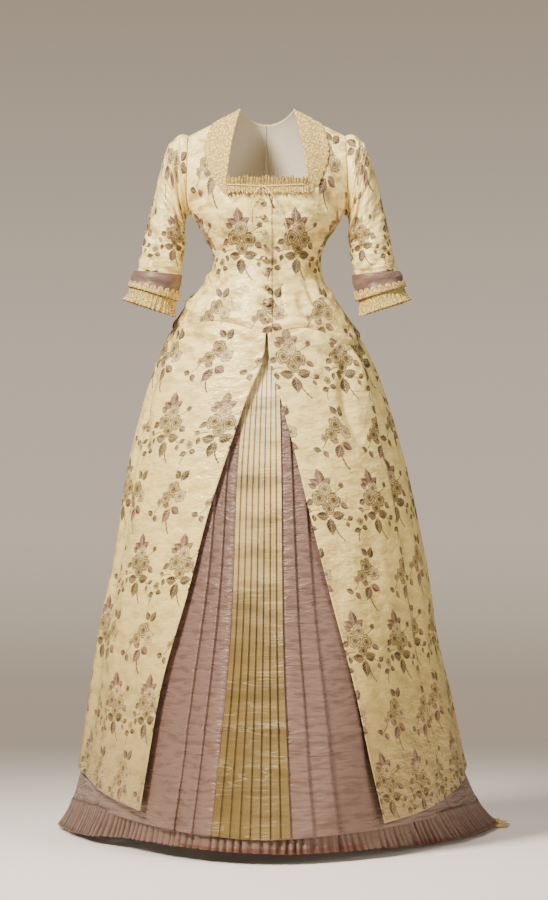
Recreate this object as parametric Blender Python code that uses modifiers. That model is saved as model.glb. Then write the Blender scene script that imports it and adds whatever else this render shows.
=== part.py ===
"""A trained afternoon dress of about 1880, hollow and standing as it is worn.

Brocade bodice and overskirt open over knife-pleated satin and taffeta, with lace at the
neck and cuffs and a gathered ruffle round the hem and train. Metres, +Z up, the front
faces -Y. The origin is between the wearer's shoulders. Right and left are the wearer's,
so the right side is at -X.
"""

from collections import namedtuple

import bmesh
import bpy
import numpy as np
from mathutils import Vector

# Driving dimensions. A lift is a distance out from the dress's form, along its normal.
CLOTH = 0.0015  # wall of the brocade, satin and taffeta
LACE = 0.0012  # wall of the lace
SEAM = 0.0004  # gap between pieces that are sewn together
LACE_GAP = 0.0009  # and between the neck lace and the bodice's coarser facets
UNDERARM = 0.178  # drop from the shoulders to the underarm
NECK_SIDE = (0.053, 0.012, 0.032)  # where the shoulder seam meets the neck
SHOULDER_TIP = (0.156, 0.004, -0.022)
BACK_NECK = (0.0, 0.062, 0.006)
NECK_SHARE = 0.36  # how far out the neckline's side runs, as a share of the way to the armhole
NECK_ROW = 0.24  # how far up it starts, from the underarm to the shoulder
CUP = (0.078, 0.188)  # a darted cup's middle: distance from the middle, and drop
CUP_SIZE = (0.042, 0.036)  # its half-width and half-height
CUP_RISE = 0.012
ARMHOLE_REACH = 0.050  # half the armhole from front to back
YOKE_ROWS = np.array([0, 0.08, 0.16, 0.24, 0.39, 0.55, 0.70, 0.86, 1.0])
RIGHT, LEFT = -1, 1

# One ring round the dress at each drop below the shoulders: the half-widths, how far it
# reaches to the front and the back, where it is widest from front to back, and how
# pointed (over 1) or square (under 1) its front is.
Ring = namedtuple("Ring", "drop right left front back widest point")
BODICE_RINGS = [
    Ring(0.128, 0.158, 0.158, 0.112, 0.102, 0.000, 0.80),
    Ring(0.178, 0.151, 0.151, 0.121, 0.102, 0.000, 0.80),
    Ring(0.205, 0.137, 0.139, 0.121, 0.098, 0.000, 0.85),
    Ring(0.239, 0.117, 0.116, 0.110, 0.090, 0.000, 0.90),
    Ring(0.268, 0.107, 0.108, 0.101, 0.087, 0.000, 0.95),
    Ring(0.303, 0.117, 0.111, 0.104, 0.097, 0.004, 1.00),
    Ring(0.345, 0.150, 0.136, 0.116, 0.118, 0.008, 1.00),
    Ring(0.380, 0.176, 0.159, 0.128, 0.140, 0.012, 1.00),
    Ring(0.410, 0.194, 0.180, 0.137, 0.156, 0.015, 1.00),
    Ring(0.445, 0.208, 0.198, 0.146, 0.172, 0.020, 1.00),
]
SKIRT_RINGS = [
    Ring(0.380, 0.172, 0.155, 0.124, 0.136, 0.012, 1.00),
    Ring(0.430, 0.201, 0.188, 0.137, 0.163, 0.020, 1.00),
    Ring(0.535, 0.240, 0.234, 0.155, 0.205, 0.040, 1.02),
    Ring(0.680, 0.279, 0.279, 0.176, 0.258, 0.070, 1.06),
    Ring(0.870, 0.309, 0.320, 0.200, 0.330, 0.110, 1.12),
    Ring(1.040, 0.346, 0.348, 0.224, 0.405, 0.160, 1.20),
    Ring(1.170, 0.368, 0.381, 0.244, 0.480, 0.220, 1.30),
    Ring(1.300, 0.392, 0.413, 0.266, 0.600, 0.300, 1.42),
    Ring(1.370, 0.412, 0.443, 0.279, 0.710, 0.370, 1.52),
    Ring(1.415, 0.424, 0.462, 0.288, 0.810, 0.420, 1.60),
    Ring(1.440, 0.434, 0.478, 0.293, 0.890, 0.460, 1.65),
    Ring(1.450, 0.440, 0.490, 0.296, 0.940, 0.480, 1.65),
]

# The overskirt's front edges, as distances from the middle at each drop.
Opening = namedtuple("Opening", "drop right left")
OPENING = [
    Opening(0.380, 0.0010, 0.0010),
    Opening(0.452, 0.0040, 0.0030),
    Opening(0.560, 0.0430, 0.0300),
    Opening(0.680, 0.0840, 0.0610),
    Opening(0.777, 0.1150, 0.0840),
    Opening(0.920, 0.1520, 0.1200),
    Opening(1.119, 0.2080, 0.1720),
    Opening(1.276, 0.2360, 0.2060),
    Opening(1.384, 0.2540, 0.2310),
]
# The edges of the satin pleats at the centre of the underskirt.
CENTRE = [
    Opening(0.405, 0.0360, 0.0250),
    Opening(0.700, 0.0640, 0.0300),
    Opening(0.985, 0.0760, 0.0330),
    Opening(1.400, 0.1200, 0.0500),
]

# Drops of the lower edges, by the angle round from the middle of the front.
Edge = namedtuple("Edge", "angle right left")
BODICE_EDGE = [
    Edge(0, 0.421, 0.421),
    Edge(24, 0.398, 0.408),
    Edge(36, 0.394, 0.416),
    Edge(50, 0.397, 0.438),
    Edge(62, 0.402, 0.441),
    Edge(90, 0.404, 0.425),
    Edge(180, 0.430, 0.430),
]
OVERSKIRT_HEM = [
    Edge(30, 1.372, 1.384),
    Edge(48, 1.352, 1.366),
    Edge(70, 1.318, 1.330),
    Edge(90, 1.302, 1.296),
    Edge(115, 1.300, 1.286),
    Edge(140, 1.330, 1.322),
    Edge(160, 1.390, 1.386),
    Edge(180, 1.416, 1.416),
]
PANEL_HEM = [
    Edge(0, 1.401, 1.401),
    Edge(20, 1.397, 1.397),
    Edge(42, 1.391, 1.393),
    Edge(60, 1.380, 1.386),
    Edge(90, 1.386, 1.392),
    Edge(104, 1.356, 1.352),
    Edge(118, 1.312, 1.298),
]
RUFFLE_HEM = [
    Edge(0, 1.426, 1.428),
    Edge(25, 1.428, 1.432),
    Edge(45, 1.432, 1.440),
    Edge(70, 1.446, 1.447),
    Edge(90, 1.447, 1.447),
    Edge(180, 1.448, 1.448),
]

# The sleeve's rings at +X: the outer and inner points seen from the front, and the
# middle and half-depth from front to back.
Cuff = namedtuple("Cuff", "outer_x outer_drop inner_x inner_drop middle depth")
SLEEVE_RINGS = [
    Cuff(0.1790, 0.0220, 0.1610, 0.1830, 0.002, 0.0545),
    Cuff(0.1990, 0.0440, 0.1625, 0.1900, 0.001, 0.0580),
    Cuff(0.2160, 0.1000, 0.1635, 0.2020, 0.000, 0.0585),
    Cuff(0.2310, 0.1650, 0.1640, 0.2180, -0.003, 0.0575),
    Cuff(0.2430, 0.2200, 0.1650, 0.2410, -0.007, 0.0550),
    Cuff(0.2530, 0.2620, 0.1680, 0.2720, -0.011, 0.0535),
    Cuff(0.2610, 0.2970, 0.1730, 0.3060, -0.014, 0.0525),
]
CUFF_RINGS = [
    Cuff(0.2655, 0.2930, 0.1690, 0.3020, -0.014, 0.0570),
    Cuff(0.2720, 0.3090, 0.1740, 0.3280, -0.016, 0.0580),
    Cuff(0.2760, 0.3240, 0.1790, 0.3530, -0.018, 0.0580),
]
CUFF_FRILL_RINGS = [
    Cuff(0.2713, 0.3215, 0.1827, 0.3505, -0.018, 0.0536),
    Cuff(0.2778, 0.3390, 0.1840, 0.3700, -0.019, 0.0572),
    Cuff(0.2860, 0.3510, 0.1830, 0.3840, -0.020, 0.0630),
]
SLEEVE_GAP = 0.0002  # the sleeve's head stands this far out from the armhole's edge
CUFF_FRILL_WAVES = 14
CUFF_FRILL_DEPTH = 0.0030

# Free edges of the two fronts and of the overskirt.
LAP_X = 0.010  # how far the right front laps over the middle
SIDE_SEAM = 0.15  # half the gap at a side seam, in degrees
TOP_TUCK = 0.012  # how far the overskirt runs up under the bodice's tuck
TOP_LIFT = -0.0002
SKIRT_TOP = 0.405  # drop of the underskirt panels' top
HIP_PUFF = 0.010  # how far the overskirt's gathers stand out beside its side seam
SIDE_STEP = 0.0026  # how far the train's front edge lies under the overskirt's side edge
BACK_GATHER = 0.014  # how deep the train's gathers lie under that edge
UNDERLAP_X = -0.012
UNDERLAP_LIFT = -0.0024
SIDE_ANGLE = {RIGHT: 69.0, LEFT: 58.0}  # the overskirt front's side edge
SIDE_LAP = 7.0  # how far the train's front edge runs under it, in degrees
PANEL_ANGLE = 58.0  # the side seam of the underskirt at the hem
PANEL_TOP_ANGLE = 47.0  # and higher up

UNDERSKIRT_LIFT = -0.0160
BAND_LIFT = -0.0085
PANEL_LAP = 0.0045  # how far a side panel's edge runs under the centre
PANEL_STEP = {RIGHT: 0.0037, LEFT: 0.0022}  # and how far in
CENTRE_PLEATS = 8
SIDE_PLEATS = 3
PLEAT_DEPTH = 0.0035
TRAIN_FOLDS = 4
FOLD_DEPTH = 0.011

# Lengths of the hem ruffle: the angles where each starts and ends, and its waves.
Ruffle = namedtuple("Ruffle", "name start end waves")
RUFFLES = [
    Ruffle("hem_ruffle_front", -44.0, 44.0, 26),
    Ruffle("hem_ruffle_side_left", 44.0, 104.0, 20),
    Ruffle("hem_ruffle_side_right", -104.0, -44.0, 20),
    Ruffle("hem_ruffle_train_left", 104.0, 180.0, 27),
    Ruffle("hem_ruffle_train_right", -180.0, -104.0, 27),
]
RUFFLE_DEPTH = 0.0045
RUFFLE_LIFT = -0.0226  # in front, where the ruffle hangs inside the pleats
DUST_WAVES = 10
DUST_TOP = -1.4503  # the dust frill's height where it lies on the floor

# The nine covered buttons: distance from the middle, drop, and how far one stands off.
Button = namedtuple("Button", "x drop off")
BUTTONS = [
    Button(-0.0100, 0.1610, 0.0004),
    Button(-0.0080, 0.1910, 0.0003),
    Button(-0.0072, 0.2200, -0.0006),
    Button(-0.0062, 0.2480, 0.0006),
    Button(-0.0052, 0.2740, 0.0004),
    Button(-0.0042, 0.3000, 0.0004),
    Button(-0.0020, 0.3300, 0.0004),
    Button(0.0000, 0.3620, 0.0004),
    Button(0.0015, 0.3930, 0.0002),
]
BUTTON_RADIUS = 0.0061
BUTTON_FLAT = 0.72  # a button's depth as a share of its width

# The neck frill, from its upper edge to its lower one, and the cord through it.
FrillRow = namedtuple("FrillRow", "drop lift depth")
FRILL_ROWS = [
    FrillRow(0.1120, 0.0085, 0.0030),
    FrillRow(0.1270, 0.0031, 0.0010),
    FrillRow(0.1440, 0.0080, 0.0030),
]
FRILL_WAVES = 16
FRILL_HALF = 0.080
CORD = 0.0022
KNOT = (-0.0098, 0.1310)
KNOT_RADIUS = 0.0032
KNOT_LIFT = 0.0082
# Points of the two cord ends, as distance from the middle, drop and lift.
RoutePoint = namedtuple("RoutePoint", "x drop lift")
CORD_ROUTES = {
    "drawstring_right": [
        RoutePoint(-0.0780, 0.1270, 0.0071),
        RoutePoint(-0.0560, 0.1280, 0.0068),
        RoutePoint(-0.0340, 0.1290, 0.0068),
        RoutePoint(-0.0146, 0.1300, 0.0078),
        RoutePoint(-0.0175, 0.1350, 0.0125),
        RoutePoint(-0.0240, 0.1440, 0.0165),
        RoutePoint(-0.0290, 0.1560, 0.0120),
        RoutePoint(-0.0320, 0.1700, 0.0060),
        RoutePoint(-0.0335, 0.1860, 0.0045),
        RoutePoint(-0.0330, 0.2020, 0.0040),
    ],
    "drawstring_left": [
        RoutePoint(0.0730, 0.1270, 0.0071),
        RoutePoint(0.0500, 0.1280, 0.0068),
        RoutePoint(0.0280, 0.1290, 0.0068),
        RoutePoint(0.0060, 0.1300, 0.0071),
        RoutePoint(-0.0055, 0.1305, 0.0082),
        RoutePoint(0.0000, 0.1350, 0.0135),
        RoutePoint(0.0080, 0.1440, 0.0168),
        RoutePoint(0.0160, 0.1560, 0.0130),
        RoutePoint(0.0250, 0.1720, 0.0075),
        RoutePoint(0.0330, 0.1880, 0.0050),
        RoutePoint(0.0400, 0.2040, 0.0042),
        RoutePoint(0.0480, 0.2230, 0.0042),
    ],
}


def column(table, name):
    return np.array([getattr(row, name) for row in table], float)


def smooth(knots, values, at):
    """Values between the knots of a table, on a curve that doesn't overshoot them."""
    at = np.clip(np.asarray(at, float), knots[0], knots[-1])
    step = np.diff(knots)
    rise = np.diff(values) / step
    both = rise[1:] * rise[:-1]
    middle = np.where(both > 0, 2 * both / np.where(both > 0, rise[1:] + rise[:-1], 1), 0)
    slope = np.concatenate([[rise[0]], middle, [rise[-1]]])
    i = np.clip(np.searchsorted(knots, at) - 1, 0, len(step) - 1)
    t = (at - knots[i]) / step[i]
    return (
        values[i] * (1 + 2 * t) * (1 - t) ** 2
        + slope[i] * step[i] * t * (1 - t) ** 2
        + values[i + 1] * t * t * (3 - 2 * t)
        - slope[i + 1] * step[i] * t * t * (1 - t)
    )


def read(table, name, at):
    """A column of a table, read by the table's first column."""
    return smooth(column(table, table[0]._fields[0]), column(table, name), at)


def by_side(table, angle, at):
    """A table's right or left column, by the angle's side, eased across the middle."""
    share = 0.5 + 0.5 * np.clip(np.sin(np.radians(angle)) / 0.10, -1, 1)
    return read(table, "right", at) * (1 - share) + read(table, "left", at) * share


def edge(table, angle):
    """The drop of a lower edge at an angle of either side."""
    return by_side(table, angle, np.abs(angle))


def ease(value, start, end):
    t = np.clip((value - start) / (end - start), 0, 1)
    return t * t * (3 - 2 * t)


def ring_point(rings, angle, drop):
    """A garment's ring: angle in degrees, 0 in front, 90 at the left and 180 behind."""
    cosine = np.cos(np.radians(angle))
    widest = read(rings, "widest", drop)
    reach = widest + read(rings, "front", drop)
    forward = widest - reach * np.abs(cosine) ** read(rings, "point", drop)
    behind = widest + (read(rings, "back", drop) - widest) * np.abs(cosine) ** 0.85
    x = by_side(rings, angle, drop) * np.sin(np.radians(angle))
    return np.stack([x, np.where(cosine > 0, forward, behind), -drop], -1)


def bodice_point(angle, drop):
    """The bodice's form below the underarm, with the two darted cups of its cut."""
    points = ring_point(BODICE_RINGS, angle, drop)
    across = (np.abs(points[..., 0]) - CUP[0]) / CUP_SIZE[0]
    up = (drop - CUP[1]) / CUP_SIZE[1]
    points[..., 1] -= np.where(np.abs(angle) < 90, CUP_RISE * np.exp(-(across**2) - up**2), 0)
    return points


def skirt_point(angle, drop):
    return ring_point(SKIRT_RINGS, angle, drop)


def moved_out(surface, u, v, lift, step_u, step_v):
    """A surface's points, moved out along its normal. u runs to the left, v down."""
    across = surface(u + step_u, v) - surface(u - step_u, v)
    down = surface(u, v + step_v) - surface(u, v - step_v)
    normal = np.cross(down, across)
    normal /= np.maximum(np.linalg.norm(normal, axis=-1, keepdims=True), 1e-12)
    return surface(u, v) + normal * np.broadcast_to(lift, u.shape)[..., None]


def on_bodice(angle, drop, lift=0.0):
    angle, drop = np.broadcast_arrays(angle, drop)
    return moved_out(bodice_point, angle, drop, lift, 0.5, 0.001)


def on_skirt(angle, drop, lift=0.0):
    angle, drop = np.broadcast_arrays(angle, drop)
    return moved_out(skirt_point, angle, drop, lift, 0.5, 0.001)


def angle_of(rings, x, drop):
    """The angle in front at which a ring is x from the middle."""
    half = by_side(rings, np.where(x < 0, -90.0, 90.0), drop)
    return np.degrees(np.arcsin(np.clip(x / half, -1, 1)))


def armhole(up, reach):
    """An armhole's edge at +X, from the underarm (0) to the shoulder tip (1)."""
    x = smooth(np.array([0, 0.35, 1]), np.array([0.151, 0.160, SHOULDER_TIP[0]]), up)
    y = reach * np.sin(np.pi * up) + SHOULDER_TIP[1] * up
    rise = (1 - np.cos(np.pi * up)) / 2
    return np.stack([x, y, -UNDERARM + (SHOULDER_TIP[2] + UNDERARM) * rise], -1)


def yoke_point(across, up, side, front):
    """The bodice above the underarm: across from the middle (0) to the armhole (1), and
    up from the underarm (0) to the shoulder seam and back neck (1)."""
    mirror = np.array([side, 1, 1])
    start = 90 * across if front else 180 - 90 * across
    low = bodice_point(side * start, UNDERARM + 0 * across) * mirror
    out = np.clip((across - NECK_SHARE) / (1 - NECK_SHARE), 0, 1)[..., None]
    top = np.array(NECK_SIDE) * (1 - out) + np.array(SHOULDER_TIP) * out
    inner = np.minimum(across / NECK_SHARE, 1)
    top[..., 0] *= np.where(inner < 1, inner, 1)
    if not front:
        dip = (1 - np.abs(inner) ** 2.2)[..., None]
        top[..., 1:] += dip * (np.array(BACK_NECK) - np.array(NECK_SIDE))[1:]
    bend = np.cos(np.pi / 2 * up) ** 0.75
    points = np.empty_like(low)
    points[..., 0] = low[..., 0] + (top[..., 0] - low[..., 0]) * up**2.2
    points[..., 1] = top[..., 1] + (low[..., 1] - top[..., 1]) * bend
    points[..., 2] = low[..., 2] + (top[..., 2] - low[..., 2]) * up
    corner = np.stack([low[..., 0] * 0 + 0.151, 0 * up, -UNDERARM + 0 * up], -1)
    tip = np.array(SHOULDER_TIP)
    plain = np.stack([
        corner[..., 0] + (tip[0] - corner[..., 0]) * up**2.2,
        tip[1] * (1 - bend),
        -UNDERARM + (tip[2] + UNDERARM) * up,
    ], -1)
    reach = -ARMHOLE_REACH if front else ARMHOLE_REACH
    pull = (np.clip(across, 0, 1) ** 3)[..., None]
    return (points + (armhole(up, reach) - plain) * pull) * mirror


def on_yoke(across, up, side, front, lift=0.0):
    """Points of the yoke, moved out."""
    across, up = np.broadcast_arrays(across, up)
    step = 0.004

    def surface(u, v):
        return yoke_point(u * side * (1 if front else -1), -v, side, front)

    u = across * side * (1 if front else -1)
    return moved_out(surface, u, -np.clip(up, step, 1 - step), lift, step, step)


def even_angles(start, end, count, side=LEFT, drop=1.38):
    """Angles that stand evenly along the skirt's ring at a drop."""
    fine = np.linspace(start, end, 400)
    path = skirt_point(side * fine, drop + 0 * fine)
    along = np.concatenate([[0], np.cumsum(np.linalg.norm(np.diff(path, axis=0), axis=1))])
    return np.interp(np.linspace(0, along[-1], count), along, fine)


def zigzag(count):
    """A ruffle's columns: their shares of its length, and out (1) or in (-1) at each."""
    share = np.linspace(0, 1, 2 * count + 1)
    return share, np.where(np.arange(2 * count + 1) % 2, 1.0, -1.0)


def knife_pleats(count):
    """Shares of the pleats' width, and how far each point stands out, 0 to 1. Each pleat
    rises slowly to its free edge and steps back under it."""
    share, out = [], []
    for pleat in range(count):
        share += [pleat / count, (pleat + 0.90) / count]
        out += [0.0, 1.0]
    return np.array(share + [1.0]), np.array(out + [0.0])


def material(name, colour, roughness):
    made = bpy.data.materials.new(name)
    made.use_nodes = True
    shader = made.node_tree.nodes["Principled BSDF"]
    shader.inputs["Base Color"].default_value = (*colour, 1)
    shader.inputs["Roughness"].default_value = roughness
    return made


def place(name, mesh, colour, roughness):
    """An object of a mesh with its own material, in the dress's collection."""
    made = bpy.data.objects.new(name, mesh)
    mesh.materials.append(material(name, colour, roughness))
    DRESS.objects.link(made)
    return made


BROCADE = ((0.72, 0.66, 0.50), 0.40)
TAFFETA = ((0.37, 0.22, 0.21), 0.45)
SATIN = ((0.62, 0.54, 0.34), 0.30)
NET = ((0.74, 0.62, 0.38), 0.80)


def wall(name, points, finish, thickness=CLOTH, closed=False, missing=None):
    """Cloth through a grid of points, rows from the top down and columns to the left.
    missing says which faces, by row and column, are cut away."""
    rows, columns = points.shape[:2]
    mesh = bpy.data.meshes.new(name)
    faces = []
    for i in range(rows - 1):
        for j in range(columns if closed else columns - 1):
            if missing is None or not missing(i, j):
                k = (j + 1) % columns
                corners = [(i, j), (i + 1, j), (i + 1, k), (i, k)]
                faces.append([a * columns + b for a, b in corners])
    mesh.from_pydata(points.reshape(-1, 3).tolist(), [], faces)
    work = bmesh.new()
    work.from_mesh(mesh)
    loose = [vertex for vertex in work.verts if not vertex.link_faces]
    bmesh.ops.delete(work, geom=loose, context="VERTS")
    work.to_mesh(mesh)
    work.free()
    made = place(name, mesh, *finish)
    solid = made.modifiers.new("cloth", "SOLIDIFY")
    solid.thickness = thickness
    solid.offset = -1
    return made


def turned_for(side, points):
    """Columns made from the middle outwards, put in order to the left."""
    return points if side == LEFT else points[:, ::-1]


def bodice_front(side):
    """A front from the shoulder to the tuck at the hip. The right one laps over."""
    rows_low, rows_high = 11, 5
    inner = np.linspace(0, 1, 6)
    outer = np.linspace(0, 1, 9)[1:]
    x_edge = LAP_X if side == RIGHT else UNDERLAP_X
    x_edge = x_edge * side

    def shares(drop):
        """Shares of a quarter turn, from the front edge past the neckline's side."""
        start = side * angle_of(BODICE_RINGS, side * x_edge, drop) / 90
        near = start + (NECK_SHARE - start) * inner
        return np.concatenate([near, NECK_SHARE + (1 - SIDE_SEAM / 90 - NECK_SHARE) * outer])

    def lift(across):
        if side == RIGHT:
            return 0.0 * across
        return UNDERLAP_LIFT * (1 - ease(across, 0.11, 0.19))

    rows = []
    for up in YOKE_ROWS[:0:-1]:
        across = shares(UNDERARM)
        rows.append(on_yoke(across, up + 0 * across, side, True, lift(across)))
    for share in np.linspace(0, 1, rows_low):
        across = shares(UNDERARM + share * 0.23)
        angle = side * 90 * across
        drop = UNDERARM + share * (edge(BODICE_EDGE, angle) - UNDERARM)
        rows.append(on_bodice(angle, drop, lift(across)))
    columns = len(inner) - 1

    def neckline(i, j):
        j = j if side == LEFT else len(rows[0]) - 2 - j
        return i < rows_high and j < columns

    name = "bodice_front_left" if side == LEFT else "bodice_front_right"
    return wall(name, turned_for(side, np.array(rows)), BROCADE, missing=neckline)


def bodice_back(side):
    """A back from the shoulder and neck to the top of the train."""
    near = np.linspace(0.002, NECK_SHARE, 5)
    far = np.linspace(NECK_SHARE, 1 - SIDE_SEAM / 90, 8)[1:]
    across = np.concatenate([near, far])
    rows = [
        on_yoke(across, up + 0 * across, side, False)
        for up in YOKE_ROWS[:0:-1]
    ]
    angle = side * (180 - 90 * across)
    for share in np.linspace(0, 1, 10):
        rows.append(on_bodice(angle, UNDERARM + share * (edge(BODICE_EDGE, angle) - UNDERARM)))
    name = "bodice_back_left" if side == LEFT else "bodice_back_right"
    return wall(name, turned_for(-side, np.array(rows)), BROCADE)


def cuff_points(ring_rows, turn, swell=0.0):
    """Rings of a sleeve at +X, at turns from its outer side round by the back."""
    rows = []
    for ring in ring_rows:
        outer = np.array([ring.outer_x, 0, -ring.outer_drop])
        inner = np.array([ring.inner_x, 0, -ring.inner_drop])
        half = (outer - inner) / 2
        half = half * (1 + swell / np.linalg.norm(half))[..., None]
        depth = (ring.depth + swell) * np.sin(turn)
        middle = (outer + inner) / 2 + np.array([0, ring.middle, 0])
        points = middle + np.cos(turn)[..., None] * half
        points[..., 1] += depth
        rows.append(points)
    return np.array(rows)


def sleeve(side):
    behind = np.pi * (1 - YOKE_ROWS[::-1])
    turn = np.concatenate([behind, 2 * np.pi - behind[-2:0:-1]])
    reach = np.where(turn <= np.pi, ARMHOLE_REACH, -ARMHOLE_REACH)
    head = armhole(1 - np.minimum(turn, 2 * np.pi - turn) / np.pi, reach)
    head[:, 0] += SLEEVE_GAP
    points = np.concatenate([[head], cuff_points(SLEEVE_RINGS, turn)])
    points = points * np.array([side, 1, 1])
    name = "sleeve_left" if side == LEFT else "sleeve_right"
    return wall(name, turned_for(side, points), BROCADE, closed=True)


def cuff(side):
    turn = np.linspace(0, 2 * np.pi, 17)[:-1]
    points = cuff_points(CUFF_RINGS, turn) * np.array([side, 1, 1])
    name = "cuff_left" if side == LEFT else "cuff_right"
    return wall(name, turned_for(side, points), TAFFETA, closed=True)


def cuff_frill(side):
    share, out = zigzag(CUFF_FRILL_WAVES)
    turn = share[:-1] * 2 * np.pi
    rows = [
        cuff_points([ring], turn, out[:-1] * CUFF_FRILL_DEPTH * deep)[0]
        for ring, deep in zip(CUFF_FRILL_RINGS, (0.25, 0.7, 1.0), strict=True)
    ]
    points = np.array(rows) * np.array([side, 1, 1])
    name = "cuff_frill_left" if side == LEFT else "cuff_frill_right"
    return wall(name, turned_for(side, points), NET, LACE, closed=True)


def neck_lace_front(side):
    """Flat lace on one front, from the shoulder seam to the end of the neck frill."""
    lift = LACE + LACE_GAP
    rows = []
    for up in np.linspace(0.985, 0.10, 11):
        wide = 0.68 if up > 0.75 else 0.68 - 0.26 * ease(0.75 - up, 0, 0.65)
        across = np.linspace(NECK_SHARE + 0.004, wide + 0.03 * np.cos(up * 60), 4)
        rows.append(on_yoke(across, up + 0 * across, side, True, lift + 0 * across))
    name = "neck_lace_left" if side == LEFT else "neck_lace_right"
    return wall(name, turned_for(side, np.array(rows)), NET, LACE)


def neck_lace_back():
    """Flat lace round the back of the neck, between the shoulder seams."""
    lift = LACE + LACE_GAP
    half = np.concatenate([np.linspace(0, NECK_SHARE, 5), np.linspace(NECK_SHARE, 0.68, 4)[1:]])
    rows = []
    for up in np.linspace(0.985, 0.72, 4):
        left = on_yoke(half, up + 0 * half, LEFT, False, lift + 0 * half)
        right = on_yoke(half, up + 0 * half, RIGHT, False, lift + 0 * half)
        rows.append(np.concatenate([left[::-1], right[1:]]))
    return wall("neck_lace_back", np.array(rows), NET, LACE)


def chest_point(x, drop, lift):
    """Points in front of the chest, also above the bottom of the neckline."""
    angle = angle_of(BODICE_RINGS, x, UNDERARM + 0 * x)
    up = np.clip((UNDERARM - drop) / (UNDERARM + NECK_SIDE[2]), 0.02, NECK_ROW)
    side = np.where(x < 0, -1, 1)
    right = on_yoke(-angle / 90, up, RIGHT, True, lift)
    left = on_yoke(angle / 90, up, LEFT, True, lift)
    below = on_bodice(angle, drop, lift)
    above = np.where((side < 0)[..., None], right, left)
    points = np.where((drop > UNDERARM)[..., None], below, above)
    points[..., 2] = np.where(drop > UNDERARM, points[..., 2], -drop)
    return points


def neck_frill():
    share, out = zigzag(FRILL_WAVES)
    x = FRILL_HALF * (2 * share - 1)
    rows = [
        chest_point(x, row.drop + 0 * x, row.lift + row.depth * out)
        for row in FRILL_ROWS
    ]
    return wall("neck_frill", np.array(rows), NET, LACE)


def button(number, place_at):
    """A ball button that stands just off the right front."""
    x = np.array([place_at.x])
    centre = chest_point(x, np.array([place_at.drop]), BUTTON_RADIUS * BUTTON_FLAT + place_at.off)[0]
    work = bmesh.new()
    bmesh.ops.create_uvsphere(work, u_segments=10, v_segments=6, radius=BUTTON_RADIUS)
    for vertex in work.verts:
        vertex.co.y *= BUTTON_FLAT
        vertex.co += Vector(centre)
    mesh = bpy.data.meshes.new(f"button_{number}")
    work.to_mesh(mesh)
    work.free()
    mesh.shade_smooth()
    return place(mesh.name, mesh, *BROCADE)


def smooth_route(points, steps):
    """A smooth curve through a route's points."""
    points = np.array(points)
    ends = np.vstack([2 * points[0] - points[1], points, 2 * points[-1] - points[-2]])
    made = []
    for i in range(1, len(ends) - 2):
        a, b, c, d = ends[i - 1 : i + 3]
        for t in np.arange(steps) / steps:
            made.append(
                b
                + (c - a) * t / 2
                + (2 * a - 5 * b + 4 * c - d) * t**2 / 2
                + (3 * b - a - 3 * c + d) * t**3 / 2
            )
    return made + [points[-1]]


def cord(name, route):
    """One half of the drawstring: a tube with its free end hanging."""
    x = column(route, "x")
    points = chest_point(x, column(route, "drop"), column(route, "lift"))
    made = bpy.data.curves.new(name, "CURVE")
    made.dimensions = "3D"
    made.bevel_depth = CORD / 2
    made.bevel_resolution = 2
    made.use_fill_caps = True
    spline = made.splines.new("POLY")
    line = smooth_route(points, 2)
    spline.points.add(len(line) - 1)
    for point, at in zip(spline.points, line, strict=True):
        point.co = (*at, 1)
    made.materials.append(material(name, *NET))
    placed = bpy.data.objects.new(name, made)
    DRESS.objects.link(placed)
    return placed


def knot():
    centre = chest_point(np.array([KNOT[0]]), np.array([KNOT[1]]), KNOT_LIFT)[0]
    work = bmesh.new()
    bmesh.ops.create_uvsphere(work, u_segments=8, v_segments=6, radius=KNOT_RADIUS)
    for vertex in work.verts:
        vertex.co.x *= 0.9
        vertex.co += Vector(centre)
    mesh = bpy.data.meshes.new("drawstring_knot")
    work.to_mesh(mesh)
    work.free()
    return place("drawstring_knot", mesh, *NET)


def overskirt_front(side):
    """A front of the overskirt, from under the bodice to its slanting hem."""
    end = SIDE_ANGLE[side]
    share = np.linspace(0, 1, 10)
    name_of = "left" if side == LEFT else "right"
    rows = []
    for down in np.linspace(0, 1, 15):
        top = edge(BODICE_EDGE, side * end * share) - TOP_TUCK
        guess = 0.40 + down * (1.384 - 0.40)
        x = side * read(OPENING, name_of, guess + 0 * share)
        start = angle_of(SKIRT_RINGS, x, guess + 0 * share) * side
        angle = start + (end - start) * share
        hem = edge(OVERSKIRT_HEM, side * np.maximum(angle, 30))
        drop = top + down * (hem - top)
        x = side * read(OPENING, name_of, drop)
        start = angle_of(SKIRT_RINGS, x, drop) * side
        angle = start + (end - start) * share
        puff = ease(share, 0.55, 1) * ease(drop, 0.446, 0.48) * (1 - ease(drop, 0.52, 0.66))
        lift = TOP_LIFT * (1 - ease(down, 0.01, 0.09)) + HIP_PUFF * puff
        rows.append(on_skirt(side * angle, drop, lift))
    return wall(f"overskirt_front_{name_of}", turned_for(side, np.array(rows)), BROCADE)


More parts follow.
